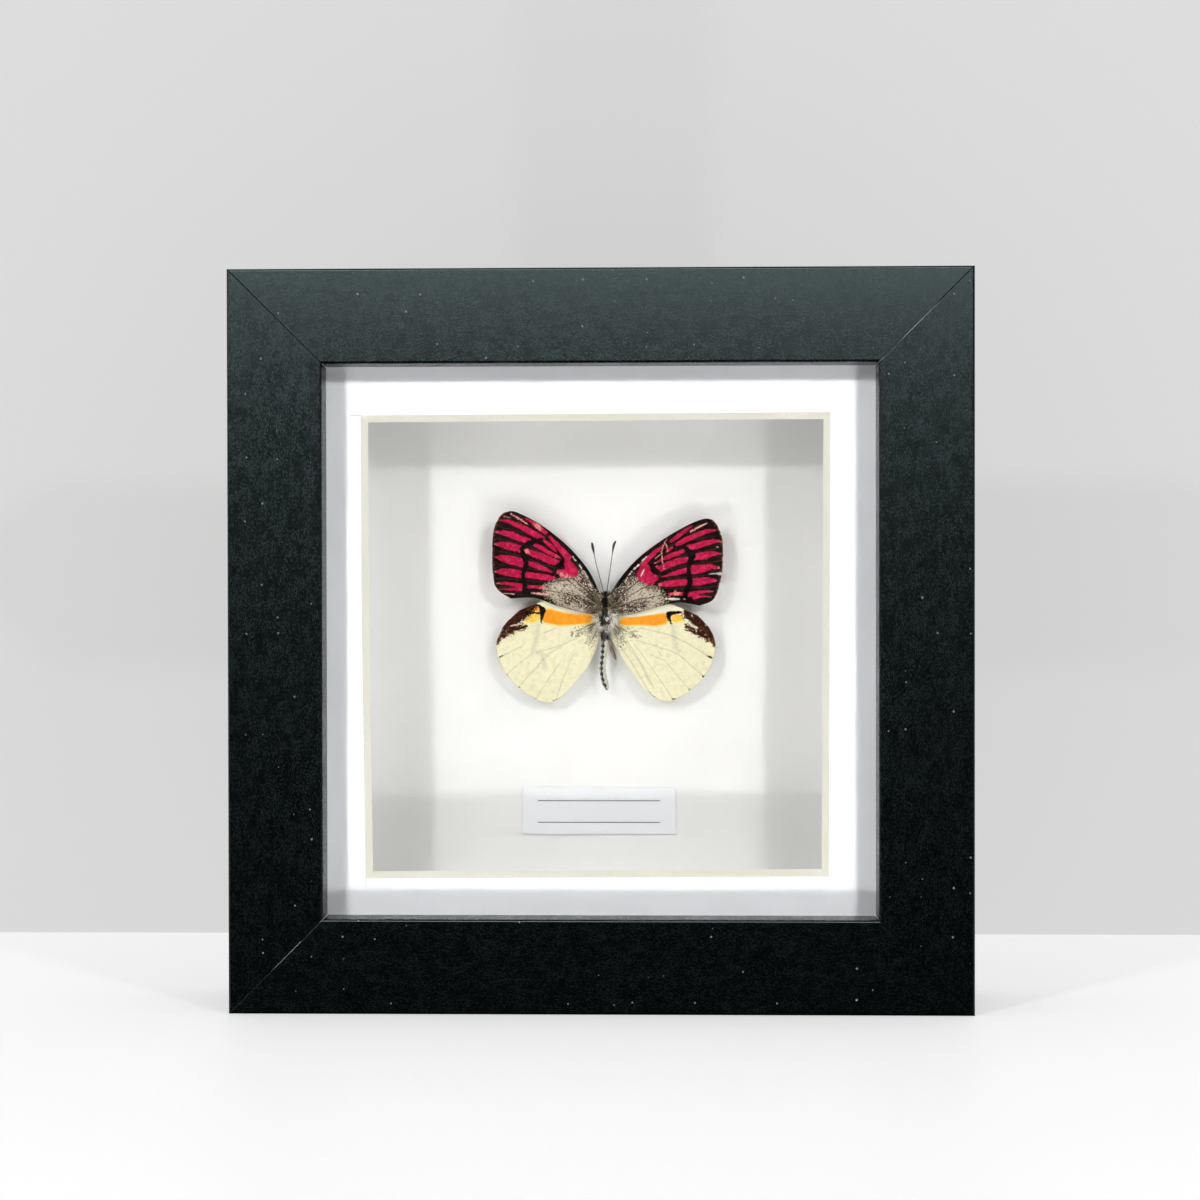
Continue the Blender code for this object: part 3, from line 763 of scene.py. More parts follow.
hind.sprinkle("mottle", APEX_BROWN, -0.9, 0.2, 0.8)
hind.lay("black", SCALE_BLACK, fray=0.45, soft=0.07)
hind.lay("white", (0.66, 0.58, 0.42), fray=0.4)
hind.sprinkle("rim", (0.35, 0.28, 0.16), -0.14, 0.0, 0.4, "Flecks")
hind.settle(0.58, 0.76, 0.5)

add_wing("fore", "left", fore, edges=(
    [(-0.9, 4.0), (-3.3, 8.9), (-7.7, 14.1), (-13.5, 18.8), (-18.6, 21.5), (-20.5, 21.9)],
    [(-20.5, 21.9), (-22.4, 21.0), (-23.9, 17.9), (-24.3, 13.0), (-24.0, 7.1), (-23.0, 4.8), (-20.4, 3.0)],
    [(-0.9, -0.6), (-4.7, -0.1), (-10.5, 1.5), (-15.0, 3.1), (-20.4, 3.0)],
    [(-0.9, 4.0), (-0.9, -0.6)],
), marks={
    "red": [[(-22.3, 19.9, 0.23), (-20.5, 19.6, 0.42), (-18.2, 18.6, 0.58), (-16.1, 17.5, 0.66),
    (-13.5, 16.0, 0.6)], [(-23.3, 17.3, 0.19), (-21.9, 17.2, 0.54), (-19.9, 16.7, 0.73),
    (-18.0, 15.9, 0.72), (-16.3, 15.4, 0.62)], [(-23.5, 14.8, 0.19), (-22.3, 14.7, 0.62),
    (-20.5, 14.3, 0.85), (-18.2, 13.7, 0.8)], [(-23.4, 11.9, 0.19), (-22.1, 11.8, 0.69),
    (-20.1, 11.3, 0.96), (-17.3, 10.6, 0.94)], [(-23.4, 8.8, 0.19), (-22.1, 8.8, 0.66), (-20.1, 8.6, 0.87),
    (-17.9, 8.2, 0.84)], [(-23.1, 6.3, 0.12), (-21.3, 6.3, 0.31), (-19.4, 6.0, 0.45), (-17.4, 5.6, 0.56)],
    [(-22.5, 5.0, 0.1), (-20.7, 5.0, 0.19), (-19.2, 5.0, 0.38), (-17.4, 5.0, 0.5)], [(-17.0, 20.3, 0.12),
    (-15.7, 19.6, 0.35), (-14.2, 18.4, 0.54), (-12.7, 17.2, 0.42)], [(-11.8, 16.4, 0.27),
    (-10.5, 14.8, 0.54), (-9.0, 13.2, 0.66), (-7.9, 11.9, 0.77)], [(-13.0, 15.5, 0.27), (-11.9, 14.7, 0.5),
    (-10.9, 13.7, 0.35), (-10.3, 13.0, 0.12)], [(-16.0, 15.0, 0.3), (-13.8, 14.0, 0.54),
    (-11.8, 12.8, 0.42), (-10.3, 12.1, 0.31), (-9.3, 11.6, 0.12)], [(-17.9, 13.7, 0.45),
    (-15.7, 12.8, 0.66), (-13.4, 12.0, 0.77), (-11.5, 11.1, 0.81), (-9.9, 10.7, 0.58)],
    [(-16.7, 10.8, 0.42), (-14.7, 10.1, 0.66), (-13.0, 9.4, 0.54), (-11.2, 8.6, 0.12)], [(-17.4, 8.2, 0.7),
    (-14.5, 7.8, 0.69), (-12.2, 7.5, 0.69), (-10.8, 7.3, 0.35)], [(-16.9, 5.6, 0.34), (-14.5, 5.5, 0.35),
    (-13.0, 5.4, 0.35)], [(-8.1, 10.9, 0.77), (-7.4, 9.6, 1.16), (-6.6, 8.6, 1.0), (-8.8, 8.4, 0.96),
    (-9.9, 8.8, 0.46)]],
    "pale": [[(-22.9, 20.2, 0.5)], [(-24.0, 17.3, 0.9)], [(-24.2, 14.8, 0.9)], [(-24.2, 11.8, 0.9)],
    [(-24.1, 8.8, 0.9)], [(-23.4, 5.6, 1.2)], [(-14.4, 18.6, 0.9)], [(-16.9, 13.2, 0.7)], [(-9.9, 8.4, 0.3),
    (-8.3, 7.7, 0.45), (-7.2, 7.5, 0.3)], [(-10.2, 12.1, 0.2)], [(-13.2, 5.2, 0.5)]],
    "ground": [[(-11.1, 5.3, 0.77), (-9.5, 4.9, 1.73), (-7.6, 4.6, 2.31), (-5.7, 4.9, 2.31)],
    [(-5.5, 7.1, 1.16), (-4.1, 5.5, 1.73), (-3.2, 3.6, 1.73), (-2.6, 1.7, 1.35)], [(-12.2, 4.7, 0.39),
    (-9.5, 2.8, 0.77), (-6.6, 1.7, 1.35), (-3.7, 0.9, 1.16)], [(-4.9, 8.4, 0.39), (-4.1, 7.1, 0.77)]],
    "mottle": [[(-5.6, 8.6, 0.1), (-4.4, 6.6, 0.5), (-3.2, 4.6, 0.7), (-2.2, 2.6, 0.9), (-1.4, 0.6, 0.9)],
    [(-8.4, 2.9, 0.15), (-6.0, 2.6, 0.35), (-3.6, 2.2, 0.5)]],
    "vein": [[(-1.4, 4.4), (-4.2, 8.9), (-9.2, 14.0), (-14.6, 18.1), (-19.6, 20.8)], [(-3.6, 6.4),
    (-8.6, 13.2), (-13.2, 15.6), (-17.6, 17.2), (-22.9, 18.6)], [(-2.0, 3.0), (-9.5, 9.8), (-12.6, 12.4),
    (-17.2, 14.6), (-23.4, 16.1)], [(-9.8, 9.4), (-13.0, 10.3), (-17.8, 12.2), (-23.7, 13.4)], [(-9.9, 9.0),
    (-13.2, 8.9), (-17.8, 9.7), (-23.7, 10.4)], [(-2.0, 2.2), (-8.0, 7.0), (-12.0, 6.5), (-17.6, 7.0),
    (-23.4, 7.4)], [(-1.8, 1.2), (-6.0, 3.6), (-12.0, 4.7), (-17.6, 5.4), (-23.0, 5.6)]],
    "black": [[(-10.0, 10.0, 0.55), (-9.3, 10.5, 0.6), (-8.9, 11.1, 0.36), (-9.1, 11.7, 0.12)],
    [(-13.4, 15.8, 0.3), (-16.1, 14.9, 0.66), (-17.9, 13.7, 0.44), (-17.2, 11.9, 0.6), (-16.8, 10.6, 0.52),
    (-17.6, 8.1, 0.42), (-17.1, 5.6, 0.56), (-17.3, 4.2, 0.6)], [(-7.0, 13.0, 0.42), (-5.2, 10.8, 0.44),
    (-3.4, 8.3, 0.42), (-1.9, 5.4, 0.3)]],
    "worn": [[(-20.2, 21.3, 0.12), (-18.6, 20.4, 0.17), (-16.7, 19.1, 0.1)], [(-21.6, 20.7, 0.08),
    (-20.3, 20.4, 0.1)], [(-21.6, 4.1, 0.06), (-19.6, 4.0, 0.08)], [(-15.7, 4.2, 0.1), (-13.8, 4.0, 0.2),
    (-12.2, 3.9, 0.24)]],
    "white": [[(-6.9, 12.0, 0.1), (-6.2, 11.2, 0.08)], [(-5.4, 10.2, 0.1), (-4.9, 9.5, 0.1)],
    [(-4.4, 8.9, 0.1), (-3.6, 7.5, 0.09)], [(-3.4, 6.9, 0.06), (-2.6, 4.9, 0.07)]],
})

add_wing("fore", "right", fore, edges=(
    [(1.2, 4.0), (3.4, 7.4), (7.3, 11.7), (12.6, 15.7), (17.6, 18.6), (20.8, 19.95), (22.4, 20.2)],
    [(22.4, 20.2), (23.6, 19.7), (24.6, 18.3), (25.5, 15.5), (25.6, 10.7), (25.2, 7.4), (23.7, 2.9),
    (20.7, 1.4)],
    [(1.2, -0.9), (4.8, -0.7), (10.6, 0.9), (15.7, 2.1), (20.7, 1.4)],
    [(1.2, 4.0), (1.2, -0.9)],
), marks={
    "red": [[(23.8, 17.7, 0.23), (22.0, 17.4, 0.46), (19.7, 16.5, 0.58), (17.5, 15.6, 0.58),
    (15.8, 14.7, 0.46)], [(25.1, 15.2, 0.19), (23.5, 15.3, 0.5), (21.2, 14.7, 0.68), (19.3, 14.1, 0.64),
    (17.6, 13.9, 0.45)], [(24.8, 12.6, 0.23), (23.1, 12.6, 0.62), (21.6, 12.2, 0.81), (19.6, 11.9, 0.72)],
    [(24.6, 9.6, 0.19), (22.7, 9.8, 0.66), (20.6, 9.3, 0.96), (18.4, 9.1, 0.92)], [(24.2, 6.8, 0.19),
    (22.4, 6.9, 0.69), (20.6, 6.6, 0.87), (18.8, 6.5, 0.8)], [(23.4, 4.5, 0.1), (21.2, 4.4, 0.31),
    (19.3, 4.0, 0.5), (17.8, 3.8, 0.55)], [(22.9, 3.4, 0.1), (20.8, 3.4, 0.23), (19.3, 3.3, 0.5)],
    [(18.9, 18.6, 0.12), (17.3, 17.5, 0.42), (15.6, 16.2, 0.46), (14.4, 15.3, 0.31)], [(12.5, 14.2, 0.27),
    (10.8, 12.8, 0.5), (9.2, 11.4, 0.62), (8.5, 10.4, 0.69)], [(14.7, 14.0, 0.19), (13.9, 13.5, 0.42),
    (13.3, 12.9, 0.19)], [(17.3, 13.4, 0.4), (15.4, 12.6, 0.54), (13.7, 11.9, 0.46), (12.1, 11.2, 0.23),
    (10.8, 10.6, 0.1)], [(18.9, 11.6, 0.5), (16.0, 11.0, 0.69), (13.7, 10.2, 0.73), (12.3, 9.4, 0.66),
    (11.1, 9.8, 0.19)], [(17.8, 9.1, 0.56), (15.6, 8.5, 0.54), (14.1, 8.1, 0.35), (12.4, 7.6, 0.08)],
    [(18.3, 6.5, 0.7), (15.4, 6.3, 0.73), (13.3, 6.1, 0.66), (11.9, 6.0, 0.35)], [(17.4, 4.0, 0.32),
    (15.4, 4.0, 0.39), (13.9, 4.0, 0.23)], [(8.7, 9.3, 1.16), (8.5, 8.2, 1.54), (9.8, 7.2, 1.35),
    (10.8, 7.4, 0.77)]],
    "pale": [[(24.4, 17.8, 0.5)], [(25.6, 15.2, 0.9)], [(25.5, 12.6, 0.7)], [(25.2, 9.6, 0.7)],
    [(24.9, 6.8, 0.7)], [(23.4, 4.0, 1.0)], [(15.6, 4.0, 0.8)], [(10.8, 10.6, 0.5)], [(11.9, 6.0, 0.3)]],
    "ground": [[(11.0, 3.4, 0.96), (9.4, 3.2, 1.73), (7.5, 3.4, 2.51), (5.6, 3.6, 2.51)], [(6.0, 6.3, 1.16),
    (4.2, 4.9, 1.35), (3.5, 2.6, 1.93), (3.3, 0.3, 1.35)], [(12.1, 2.6, 0.39), (9.8, 1.4, 0.77),
    (6.7, 0.7, 1.16), (4.0, -0.3, 0.96)], [(7.5, 4.9, 1.16)]],
    "mottle": [[(5.8, 8.0, 0.1), (4.8, 6.4, 0.5), (3.8, 4.4, 0.7), (2.8, 2.4, 0.9), (1.8, 0.4, 0.9)],
    [(8.6, 1.7, 0.15), (6.4, 1.3, 0.3), (4.0, 1.0, 0.5)]],
    "vein": [[(1.6, 4.2), (4.6, 7.6), (9.2, 12.1), (14.6, 15.9), (20.6, 19.0)], [(3.4, 5.4), (8.6, 11.6),
    (13.2, 14.0), (18.2, 15.4), (24.6, 16.4)], [(2.4, 2.6), (10.4, 9.4), (14.6, 11.4), (18.8, 12.6),
    (25.3, 13.9)], [(10.8, 8.6), (15.0, 9.6), (18.9, 10.3), (25.3, 11.1)], [(11.0, 8.0), (14.6, 7.2),
    (19.0, 7.7), (25.0, 8.3)], [(2.2, 1.6), (8.6, 5.4), (13.0, 5.1), (18.6, 5.2), (24.5, 5.6)], [(2.0, 0.6),
    (6.4, 2.6), (12.0, 3.6), (17.6, 3.6), (23.7, 3.9)]],
    "black": [[(10.2, 10.2, 0.3), (10.6, 9.3, 0.58), (11.4, 8.5, 0.38)], [(17.3, 14.0, 0.5),
    (18.9, 12.2, 0.8), (18.3, 10.6, 0.5), (18.1, 9.2, 0.46), (18.5, 6.5, 0.6), (17.5, 4.2, 0.58),
    (17.4, 3.0, 0.5)], [(8.4, 12.2, 0.37), (6.4, 10.2, 0.4), (4.6, 8.2, 0.4), (2.9, 5.8, 0.35)]],
    "worn": [[(22.2, 19.2, 0.08), (20.2, 18.3, 0.18), (18.5, 17.3, 0.1)], [(13.5, 15.9, 0.06),
    (12.9, 14.9, 0.09), (13.4, 14.4, 0.09), (13.6, 13.2, 0.06)], [(12.8, 14.7, 0.07), (12.3, 13.0, 0.08),
    (12.5, 10.9, 0.09), (12.8, 9.4, 0.07)], [(12.1, 12.5, 0.06), (11.0, 11.6, 0.05)], [(13.9, 3.4, 0.08),
    (15.4, 4.7, 0.06)]],
    "white": [[(13.2, 2.9, 0.08), (14.8, 2.9, 0.22), (16.1, 2.8, 0.12)], [(17.0, 2.9, 0.06),
    (17.4, 2.8, 0.06)], [(8.5, 9.1, 0.12), (7.9, 7.9, 0.1)], [(9.1, 12.0, 0.12), (7.9, 10.8, 0.1)],
    [(7.3, 10.2, 0.17), (6.4, 9.4, 0.17)], [(5.9, 8.8, 0.12), (5.3, 8.1, 0.12)], [(5.0, 7.5, 0.08),
    (4.4, 6.4, 0.08)], [(24.4, 14.0, 0.12)]],
}, tears=[
    [(22.4, 8.25, 0.04), (23.6, 8.3, 0.12), (26.0, 8.35, 0.42)], [(25.85, 12.9, 0.32)],
    [(25.8, 10.5, 0.22)], [(25.5, 7.0, 0.22)], [(25.8, 14.4, 0.25)], [(25.1, 16.9, 0.16)],
])

add_wing("hind", "left", hind, edges=(
    [(-1.0, 0.9), (-5.0, 3.0), (-9.0, 3.5), (-12.6, 2.7), (-15.2, 1.7), (-18.4, 0.5)],
    [(-18.4, 0.5), (-21.5, -2.4), (-23.0, -5.1), (-23.5, -8.0), (-21.9, -12.4), (-18.2, -16.7),
    (-13.8, -19.2), (-11.6, -19.5)],
    [(-1.0, -2.4), (-1.4, -6.6), (-3.4, -11.2), (-6.3, -15.0), (-9.0, -18.0), (-11.6, -19.5)],
    [(-1.0, 0.9), (-1.0, -2.4)],
), marks={
    "orange": [[(-12.1, -0.8, 1.47), (-9.5, -1.4, 1.35), (-6.6, -1.5, 1.0), (-4.1, -1.5, 0.87),
    (-3.2, -1.4, 0.66)], [(-15.9, 0.75, 0.52), (-14.7, 0.85, 0.56)]],
    "yellow": [[(-14.5, -0.9, 0.77), (-15.8, -1.4, 0.73), (-16.8, -1.8, 0.31)]],
    "black": [[(-15.3, 1.7, 0.12), (-14.0, 1.4, 0.28), (-13.4, 0.5, 0.76), (-13.5, -0.7, 0.4),
    (-13.7, -2.0, 0.2), (-13.5, -2.5, 0.08)], [(-13.9, -0.15, 0.26), (-15.9, -0.15, 0.22),
    (-16.8, 0.0, 0.32)], [(-22.6, -9.6, 0.21), (-21.7, -9.1, 0.06)], [(-21.1, -13.4, 0.2)],
    [(-18.5, -16.2, 0.2)], [(-14.9, -18.6, 0.2)], [(-11.1, -19.1, 0.08), (-9.9, -18.6, 0.1)]],
    "brown": [[(-15.5, 1.3, 0.23), (-17.2, 0.2, 0.85), (-19.2, -0.9, 1.08), (-20.7, -2.0, 0.81),
    (-21.7, -2.9, 0.39)]],
    "mottle": [[(-21.4, -3.3, 0.5), (-19.6, -3.1, 0.66), (-18.0, -3.1, 0.35), (-17.2, -3.1, 0.12)],
    [(-20.1, -3.9, 0.46), (-21.3, -4.3, 0.58), (-22.4, -5.0, 0.42), (-23.0, -6.0, 0.27),
    (-23.2, -6.6, 0.1)]],
    "pale_edge": [[(-12.2, 1.7, 0.45), (-9.5, 1.1, 0.7), (-6.0, 0.4, 0.7)]],
    "shade": [[(-14.3, -2.6, 0.42), (-14.5, -4.9, 0.42), (-15.3, -7.6, 0.5), (-15.5, -8.7, 0.42)],
    [(-13.4, -9.1, 0.46), (-13.0, -11.8, 0.5)], [(-15.1, -8.6, 0.19), (-12.2, -9.3, 0.27)]],
    "vein": [[(-3.0, -3.7), (-7.6, -6.3), (-10.7, -7.6), (-14.9, -8.6)], [(-7.6, -6.3), (-11.5, -8.6),
    (-13.4, -10.3), (-18.6, -16.1)], [(-10.7, -3.5), (-13.1, -4.5, 0.08)], [(-17.6, -7.2, 0.04),
    (-20.5, -8.6), (-22.5, -9.6, 0.08)], [(-15.5, -8.7, 0.04), (-17.6, -10.3), (-21.1, -13.3)],
    [(-9.5, -10.7, 0.04), (-12.2, -14.5, 0.04), (-14.8, -18.6, 0.04)], [(-6.8, -9.1, 0.04),
    (-9.0, -14.5, 0.04), (-10.6, -18.9, 0.04)]],
    "fold_shade": [[(-1.2, -6.8, 0.8), (-2.2, -9.1, 0.6), (-3.4, -12.0, 0.25)]],
    "hair": [[(-1.8, -2.6, 1.2), (-4.4, -3.6, 0.5), (-6.6, -4.8, 0.1)], [(-1.6, -3.5, 1.0),
    (-3.0, -6.6, 0.5)]],
    "white": [[(-21.1, -4.4, 0.12)], [(-19.6, -3.9, 0.12)], [(-20.2, -2.9, 0.08), (-17.9, -2.5, 0.12)]],
})

add_wing("hind", "right", hind, edges=(
    [(1.2, 0.7), (5.5, 2.6), (10.0, 3.2), (14.0, 2.0), (17.0, 0.7), (20.3, -0.8)],
    [(20.3, -0.8), (23.0, -3.9), (24.0, -7.8), (22.6, -12.3), (19.5, -16.1), (15.1, -18.9), (13.0, -19.2)],
    [(1.2, -2.4), (1.5, -5.8), (2.9, -8.4), (6.4, -13.6), (9.8, -17.7), (13.0, -19.2)],
    [(1.2, 0.7), (1.2, -2.4)],
), marks={
    "orange": [[(3.8, -2.0, 0.5), (4.8, -1.9, 0.79), (7.7, -1.7, 0.89), (10.6, -1.7, 1.1),
    (12.5, -1.4, 1.12)]],
    "yellow": [[(15.4, -1.3, 0.93), (16.4, -1.3, 0.54)]],
    "black": [[(16.4, 0.0, 0.28), (15.0, -0.1, 0.32), (13.8, -0.3, 0.55), (13.8, -0.9, 0.5),
    (14.1, -1.7, 0.3), (14.4, -2.5, 0.14)], [(23.0, -9.8, 0.22), (22.0, -9.3, 0.06)], [(21.2, -13.8, 0.22)],
    [(18.2, -16.6, 0.2)], [(14.5, -18.7, 0.1), (15.2, -18.7, 0.14)], [(9.6, -17.3, 0.05),
    (11.4, -18.8, 0.08)]],
    "brown": [[(18.0, -0.3, 0.73), (19.5, -1.0, 1.04), (20.8, -2.4, 1.0), (21.9, -3.5, 0.69),
    (22.8, -5.0, 0.35), (23.5, -6.0, 0.27), (23.7, -6.8, 0.12)]],
    "mottle": [[(17.8, -3.2, 0.19), (19.1, -3.6, 0.42), (20.4, -4.3, 0.54), (21.8, -5.3, 0.42),
    (22.9, -5.9, 0.27)], [(22.6, -4.3, 0.42), (23.0, -5.3, 0.31)]],
    "pale_edge": [[(16.0, 1.2, 0.5), (12.5, 0.6, 0.7), (8.0, -0.2, 0.6), (4.5, -0.8, 0.4)]],
    "shade": [[(14.6, -2.8, 0.39), (15.0, -5.3, 0.46), (15.4, -7.6, 0.5), (16.0, -8.4, 0.35)]],
    "vein": [[(7.5, -3.3), (14.1, -4.9, 0.08), (17.3, -6.4, 0.08), (22.9, -9.8, 0.08)], [(6.7, -6.0),
    (11.0, -7.3), (13.7, -8.1, 0.08), (16.4, -9.5, 0.08), (21.2, -13.7)], [(9.8, -9.1), (13.1, -10.5),
    (15.6, -13.6), (18.2, -16.6)], [(6.4, -6.8, 0.04), (11.4, -13.8), (14.7, -18.7)], [(4.8, -6.0),
    (8.3, -11.8, 0.08), (10.6, -16.5, 0.08)], [(2.1, -5.3), (6.4, -11.8, 0.08), (9.6, -17.2, 0.08)],
    [(3.5, -5.3), (7.5, -10.7), (9.8, -15.5)], [(11.2, -7.2, 0.18)], [(12.3, -8.0, 0.12)], [(11.5, -8.4),
    (12.5, -9.4)]],
    "fold_shade": [[(1.5, -6.0, 0.6), (2.9, -9.6, 0.4), (4.8, -12.6, 0.15)]],
    "hair": [[(2.2, -2.9, 1.2), (4.6, -4.0, 0.5), (6.8, -5.2, 0.1)], [(2.2, -3.6, 1.0), (3.6, -7.0, 0.5)]],
    "white": [[(16.8, 0.4, 0.15), (17.0, -0.9, 0.1)], [(18.8, -0.7, 0.16), (19.1, -1.0, 0.1)],
    [(21.9, -2.8, 0.2)], [(18.7, -2.9, 0.2), (19.9, -3.4, 0.2)]],
})

# ---------------------------------------------------------------------------------------------
# Body. Head, thorax and abdomen in one, dried: a dark thorax under swept grey brown hair, a
# narrow waist and a slender ringed abdomen, pale with a black line down its back and painted
# shade down its left flank.

BODY_DEPTH = 24.8 * MM
BODY_SIDES = 28
RING_PITCH = 1.2 * MM
WAIST = THORAX.z - 6.2 * MM
BODY_SPINE = [
    (0.20, 4.55, 0.25), (0.20, 4.3, 0.62), (0.20, 3.7, 0.92), (0.18, 3.0, 0.85), (0.15, 2.5, 0.92),
    (0.10, 1.4, 1.30), (0.10, 0.4, 1.42), (0.10, -0.8, 1.40), (0.00, -2.2, 1.20),
    (-0.05, -3.4, 0.95), (-0.10, -4.2, 0.86), (-0.02, -5.0, 0.88), (-0.02, -6.2, 0.80),
    (-0.12, -7.8, 0.72), (-0.25, -9.6, 0.68), (-0.42, -11.4, 0.68), (-0.42, -13.0, 0.72),
    (-0.15, -14.4, 0.76), (0.22, -15.6, 0.72), (0.50, -16.5, 0.46), (0.60, -16.8, 0.16),
]


def spine_points(spine, count):
    """Evenly spaced points and radii along a smooth curve through a spine."""
    marks = np.array(spine)
    path = curve_through(marks[:, :2], count)
    steps = np.linalg.norm(np.diff(marks[:, :2], axis=0), axis=1)
    run = np.concatenate([[0], np.cumsum(steps)])
    return path, np.interp(np.linspace(0, run[-1], count), run, marks[:, 2])


def drawn(points, faces):
    """A piece made point by point, where its shape follows a curve."""
    mesh = bpy.data.meshes.new("drawn")
    mesh.from_pydata(points, [], faces)
    made = bpy.data.objects.new("drawn", mesh)
    bpy.context.scene.collection.objects.link(made)
    return made


def tube(spine, depth, count, sides, flatten=1.0, rings=0.0, ring_from=2.0):
    """A closed round body: rings of points along the spine, joined and capped."""
    path, radii = spine_points(spine, count)
    ahead = np.gradient(path, axis=0)
    ahead /= np.linalg.norm(ahead, axis=1)[:, None]
    points, faces = [], []
    for k in range(count):
        radius = radii[k]
        if path[k, 1] < ring_from:
            radius *= 1 - rings * (0.5 + 0.5 * math.cos(2 * math.pi * k / 6)) ** 3
        for s in range(sides):
            angle = 2 * math.pi * s / sides
            x, z = path[k] + np.array([-ahead[k, 1], ahead[k, 0]]) * radius * math.cos(angle)
            points.append(wing_point(x, depth + flatten * radius * math.sin(angle) * MM, z))
            n = (s + 1) % sides
            if k:
                faces.append(((k - 1) * sides + s, (k - 1) * sides + n, k * sides + n, k * sides + s))
    faces.append(tuple(range(sides)))
    faces.append(tuple((count - 1) * sides + s for s in reversed(range(sides))))
    made = drawn(points, faces)
    face_outwards(made)
    bpy.ops.object.shade_smooth()
    return made


skin = Finish("body_cuticle", (0.05, 0.04, 0.035), 0.6)
spot = skin.spot()
height = skin.split(spot)["Z"]
speckle = skin.noise(spot, 3500, 5.0, 0.7)
blotch = skin.noise(spot, 1300, 3.0, 0.6)
pale = skin.two_tone(speckle, 0.35, 0.7, (0.62, 0.61, 0.49), (0.30, 0.29, 0.22))
dark = skin.two_tone(speckle, 0.4, 0.7, (0.007, 0.006, 0.005), (0.050, 0.040, 0.028))
turn = skin.calc("MULTIPLY", height, 2 * math.pi / RING_PITCH)
beads = skin.calc("MULTIPLY", skin.calc("SINE", turn), 0.34)
# Dark where the ridge attribute is high: the black line down the back, and painted shade on the left flank.
line = skin.calc("MULTIPLY_ADD", blotch, 0.9, skin.calc("ADD", skin.attribute("ridge"), beads))
lower = skin.two_tone(line, 0.90, 1.05, pale, (0.010, 0.009, 0.008))
skin.look(Base_Color=skin.two_tone(height, WAIST + 0.5 * MM, WAIST, dark, lower))
skin.sheen(speckle, 0.45, 0.75)
skin.relief(speckle, 0.05 * MM)

body = tube(BODY_SPINE, BODY_DEPTH, 96, BODY_SIDES, rings=0.16, ring_from=-5.2)
# The ridge attribute holds the real black back line and, as painted shade, a dark band down the left flank
# only.
turned = 2 * math.pi * (np.arange(len(body.data.vertices)) % BODY_SIDES) / BODY_SIDES
back_line = np.clip(-np.sin(turned + 0.35), 0, 1) ** 9
left_flank_shade = 0.75 * np.clip(np.cos(turned - math.pi), 0, 1) ** 6
keep(body, "ridge", np.maximum(back_line, left_flank_shade))
eyes = []
for way in (-1, 1):
    centre = wing_point(0.2 + way * 0.62, BODY_DEPTH - 0.25 * MM, 3.75)
    eyes.append(start("uv_sphere", segments=24, ring_count=16, radius=0.48 * MM, location=centre))
    bpy.ops.object.shade_smooth()
pick(body)
for eye in eyes:
    eye.select_set(True)
bpy.ops.object.join()

# The coat is some sixty tufts, each a lock of flat tapering hairs that lie much the same way: where
# it is rooted, which way it lies in degrees, its length and spread in millimetres and radians, how
# many hairs it has and their tone from 0, black, to 1, white. The last ten make the swirl.

TUFTS = [
    (0.2, 3.9, 90, 0.7, 0.5, 60, 0.0), (-0.45, 3.9, 115, 0.6, 0.4, 40, 0.32),
    (0.85, 3.9, 62, 0.6, 0.4, 40, 0.32), (-0.8, 3.0, 130, 0.9, 0.5, 60, 0.5),
    (-1.1, 2.2, 160, 1.1, 0.45, 80, 0.45), (-1.3, 1.2, 185, 1.2, 0.5, 80, 0.36),
    (1.0, 3.0, 50, 0.9, 0.5, 60, 0.5), (1.3, 2.2, 18, 1.1, 0.5, 80, 0.42),
    (1.5, 1.2, -5, 1.2, 0.5, 80, 0.34), (0.1, 2.6, -90, 0.8, 0.9, 100, -0.05),
    (0.15, 1.7, -88, 0.8, 0.9, 100, -0.12), (0.1, 0.8, -92, 0.8, 0.9, 100, -0.12),
    (0.1, 0.0, -90, 0.8, 0.9, 90, -0.05), (-0.6, 1.2, -112, 0.9, 0.3, 60, 0.42),
    (0.8, 1.2, -62, 0.9, 0.3, 60, 0.5), (-0.7, 0.1, -118, 1.0, 0.35, 60, 0.55),
    (0.9, 0.2, -42, 0.9, 0.3, 60, 0.72), (-0.1, -1.0, -98, 0.9, 0.35, 70, 0.18),
    (1.75, -0.7, -18, 1.2, 0.25, 45, 0.95), (1.85, -1.5, -42, 1.3, 0.25, 55, 1.0),
    (1.55, -2.2, -58, 1.3, 0.22, 45, 0.92), (1.0, -2.9, -75, 1.0, 0.25, 40, 0.85),
    (-1.4, -0.6, -170, 1.1, 0.35, 55, 0.62), (-1.55, -1.4, -150, 1.3, 0.3, 55, 0.86),
    (-1.25, -2.2, -128, 1.2, 0.3, 50, 0.78), (-0.8, -3.1, -112, 1.0, 0.3, 40, 0.85),
    (0.0, -1.9, -95, 1.0, 0.35, 70, 0.22), (0.25, -2.7, -90, 0.9, 0.35, 70, 0.58),
    (-0.1, -3.2, -90, 0.7, 0.4, 60, 0.66), (0.4, -4.1, -70, 0.4, 0.5, 24, 0.95),
    (-0.25, -5.2, -90, 0.4, 0.9, 110, 0.0), (0.25, -5.3, -90, 0.4, 0.9, 110, 0.0),
    (0.0, -6.5, -90, 0.4, 0.3, 24, 0.8), (-2.2, 1.8, 168, 1.7, 0.35, 45, 0.3),
    (-2.4, 0.5, 182, 1.8, 0.3, 45, 0.42), (-2.2, 3.1, 138, 1.5, 0.3, 35, 0.26),
    (2.4, 1.8, 12, 1.7, 0.35, 45, 0.3), (2.6, 0.3, -4, 1.8, 0.3, 45, 0.4),
    (2.3, 2.9, 44, 1.5, 0.3, 35, 0.26), (-2.2, -2.6, -146, 2.2, 0.25, 45, 0.66),
    (2.4, -2.8, -36, 2.2, 0.25, 45, 0.62), (-1.6, -3.6, -122, 2.0, 0.2, 35, 0.72),
    (1.8, -3.8, -56, 2.0, 0.2, 35, 0.7),
]
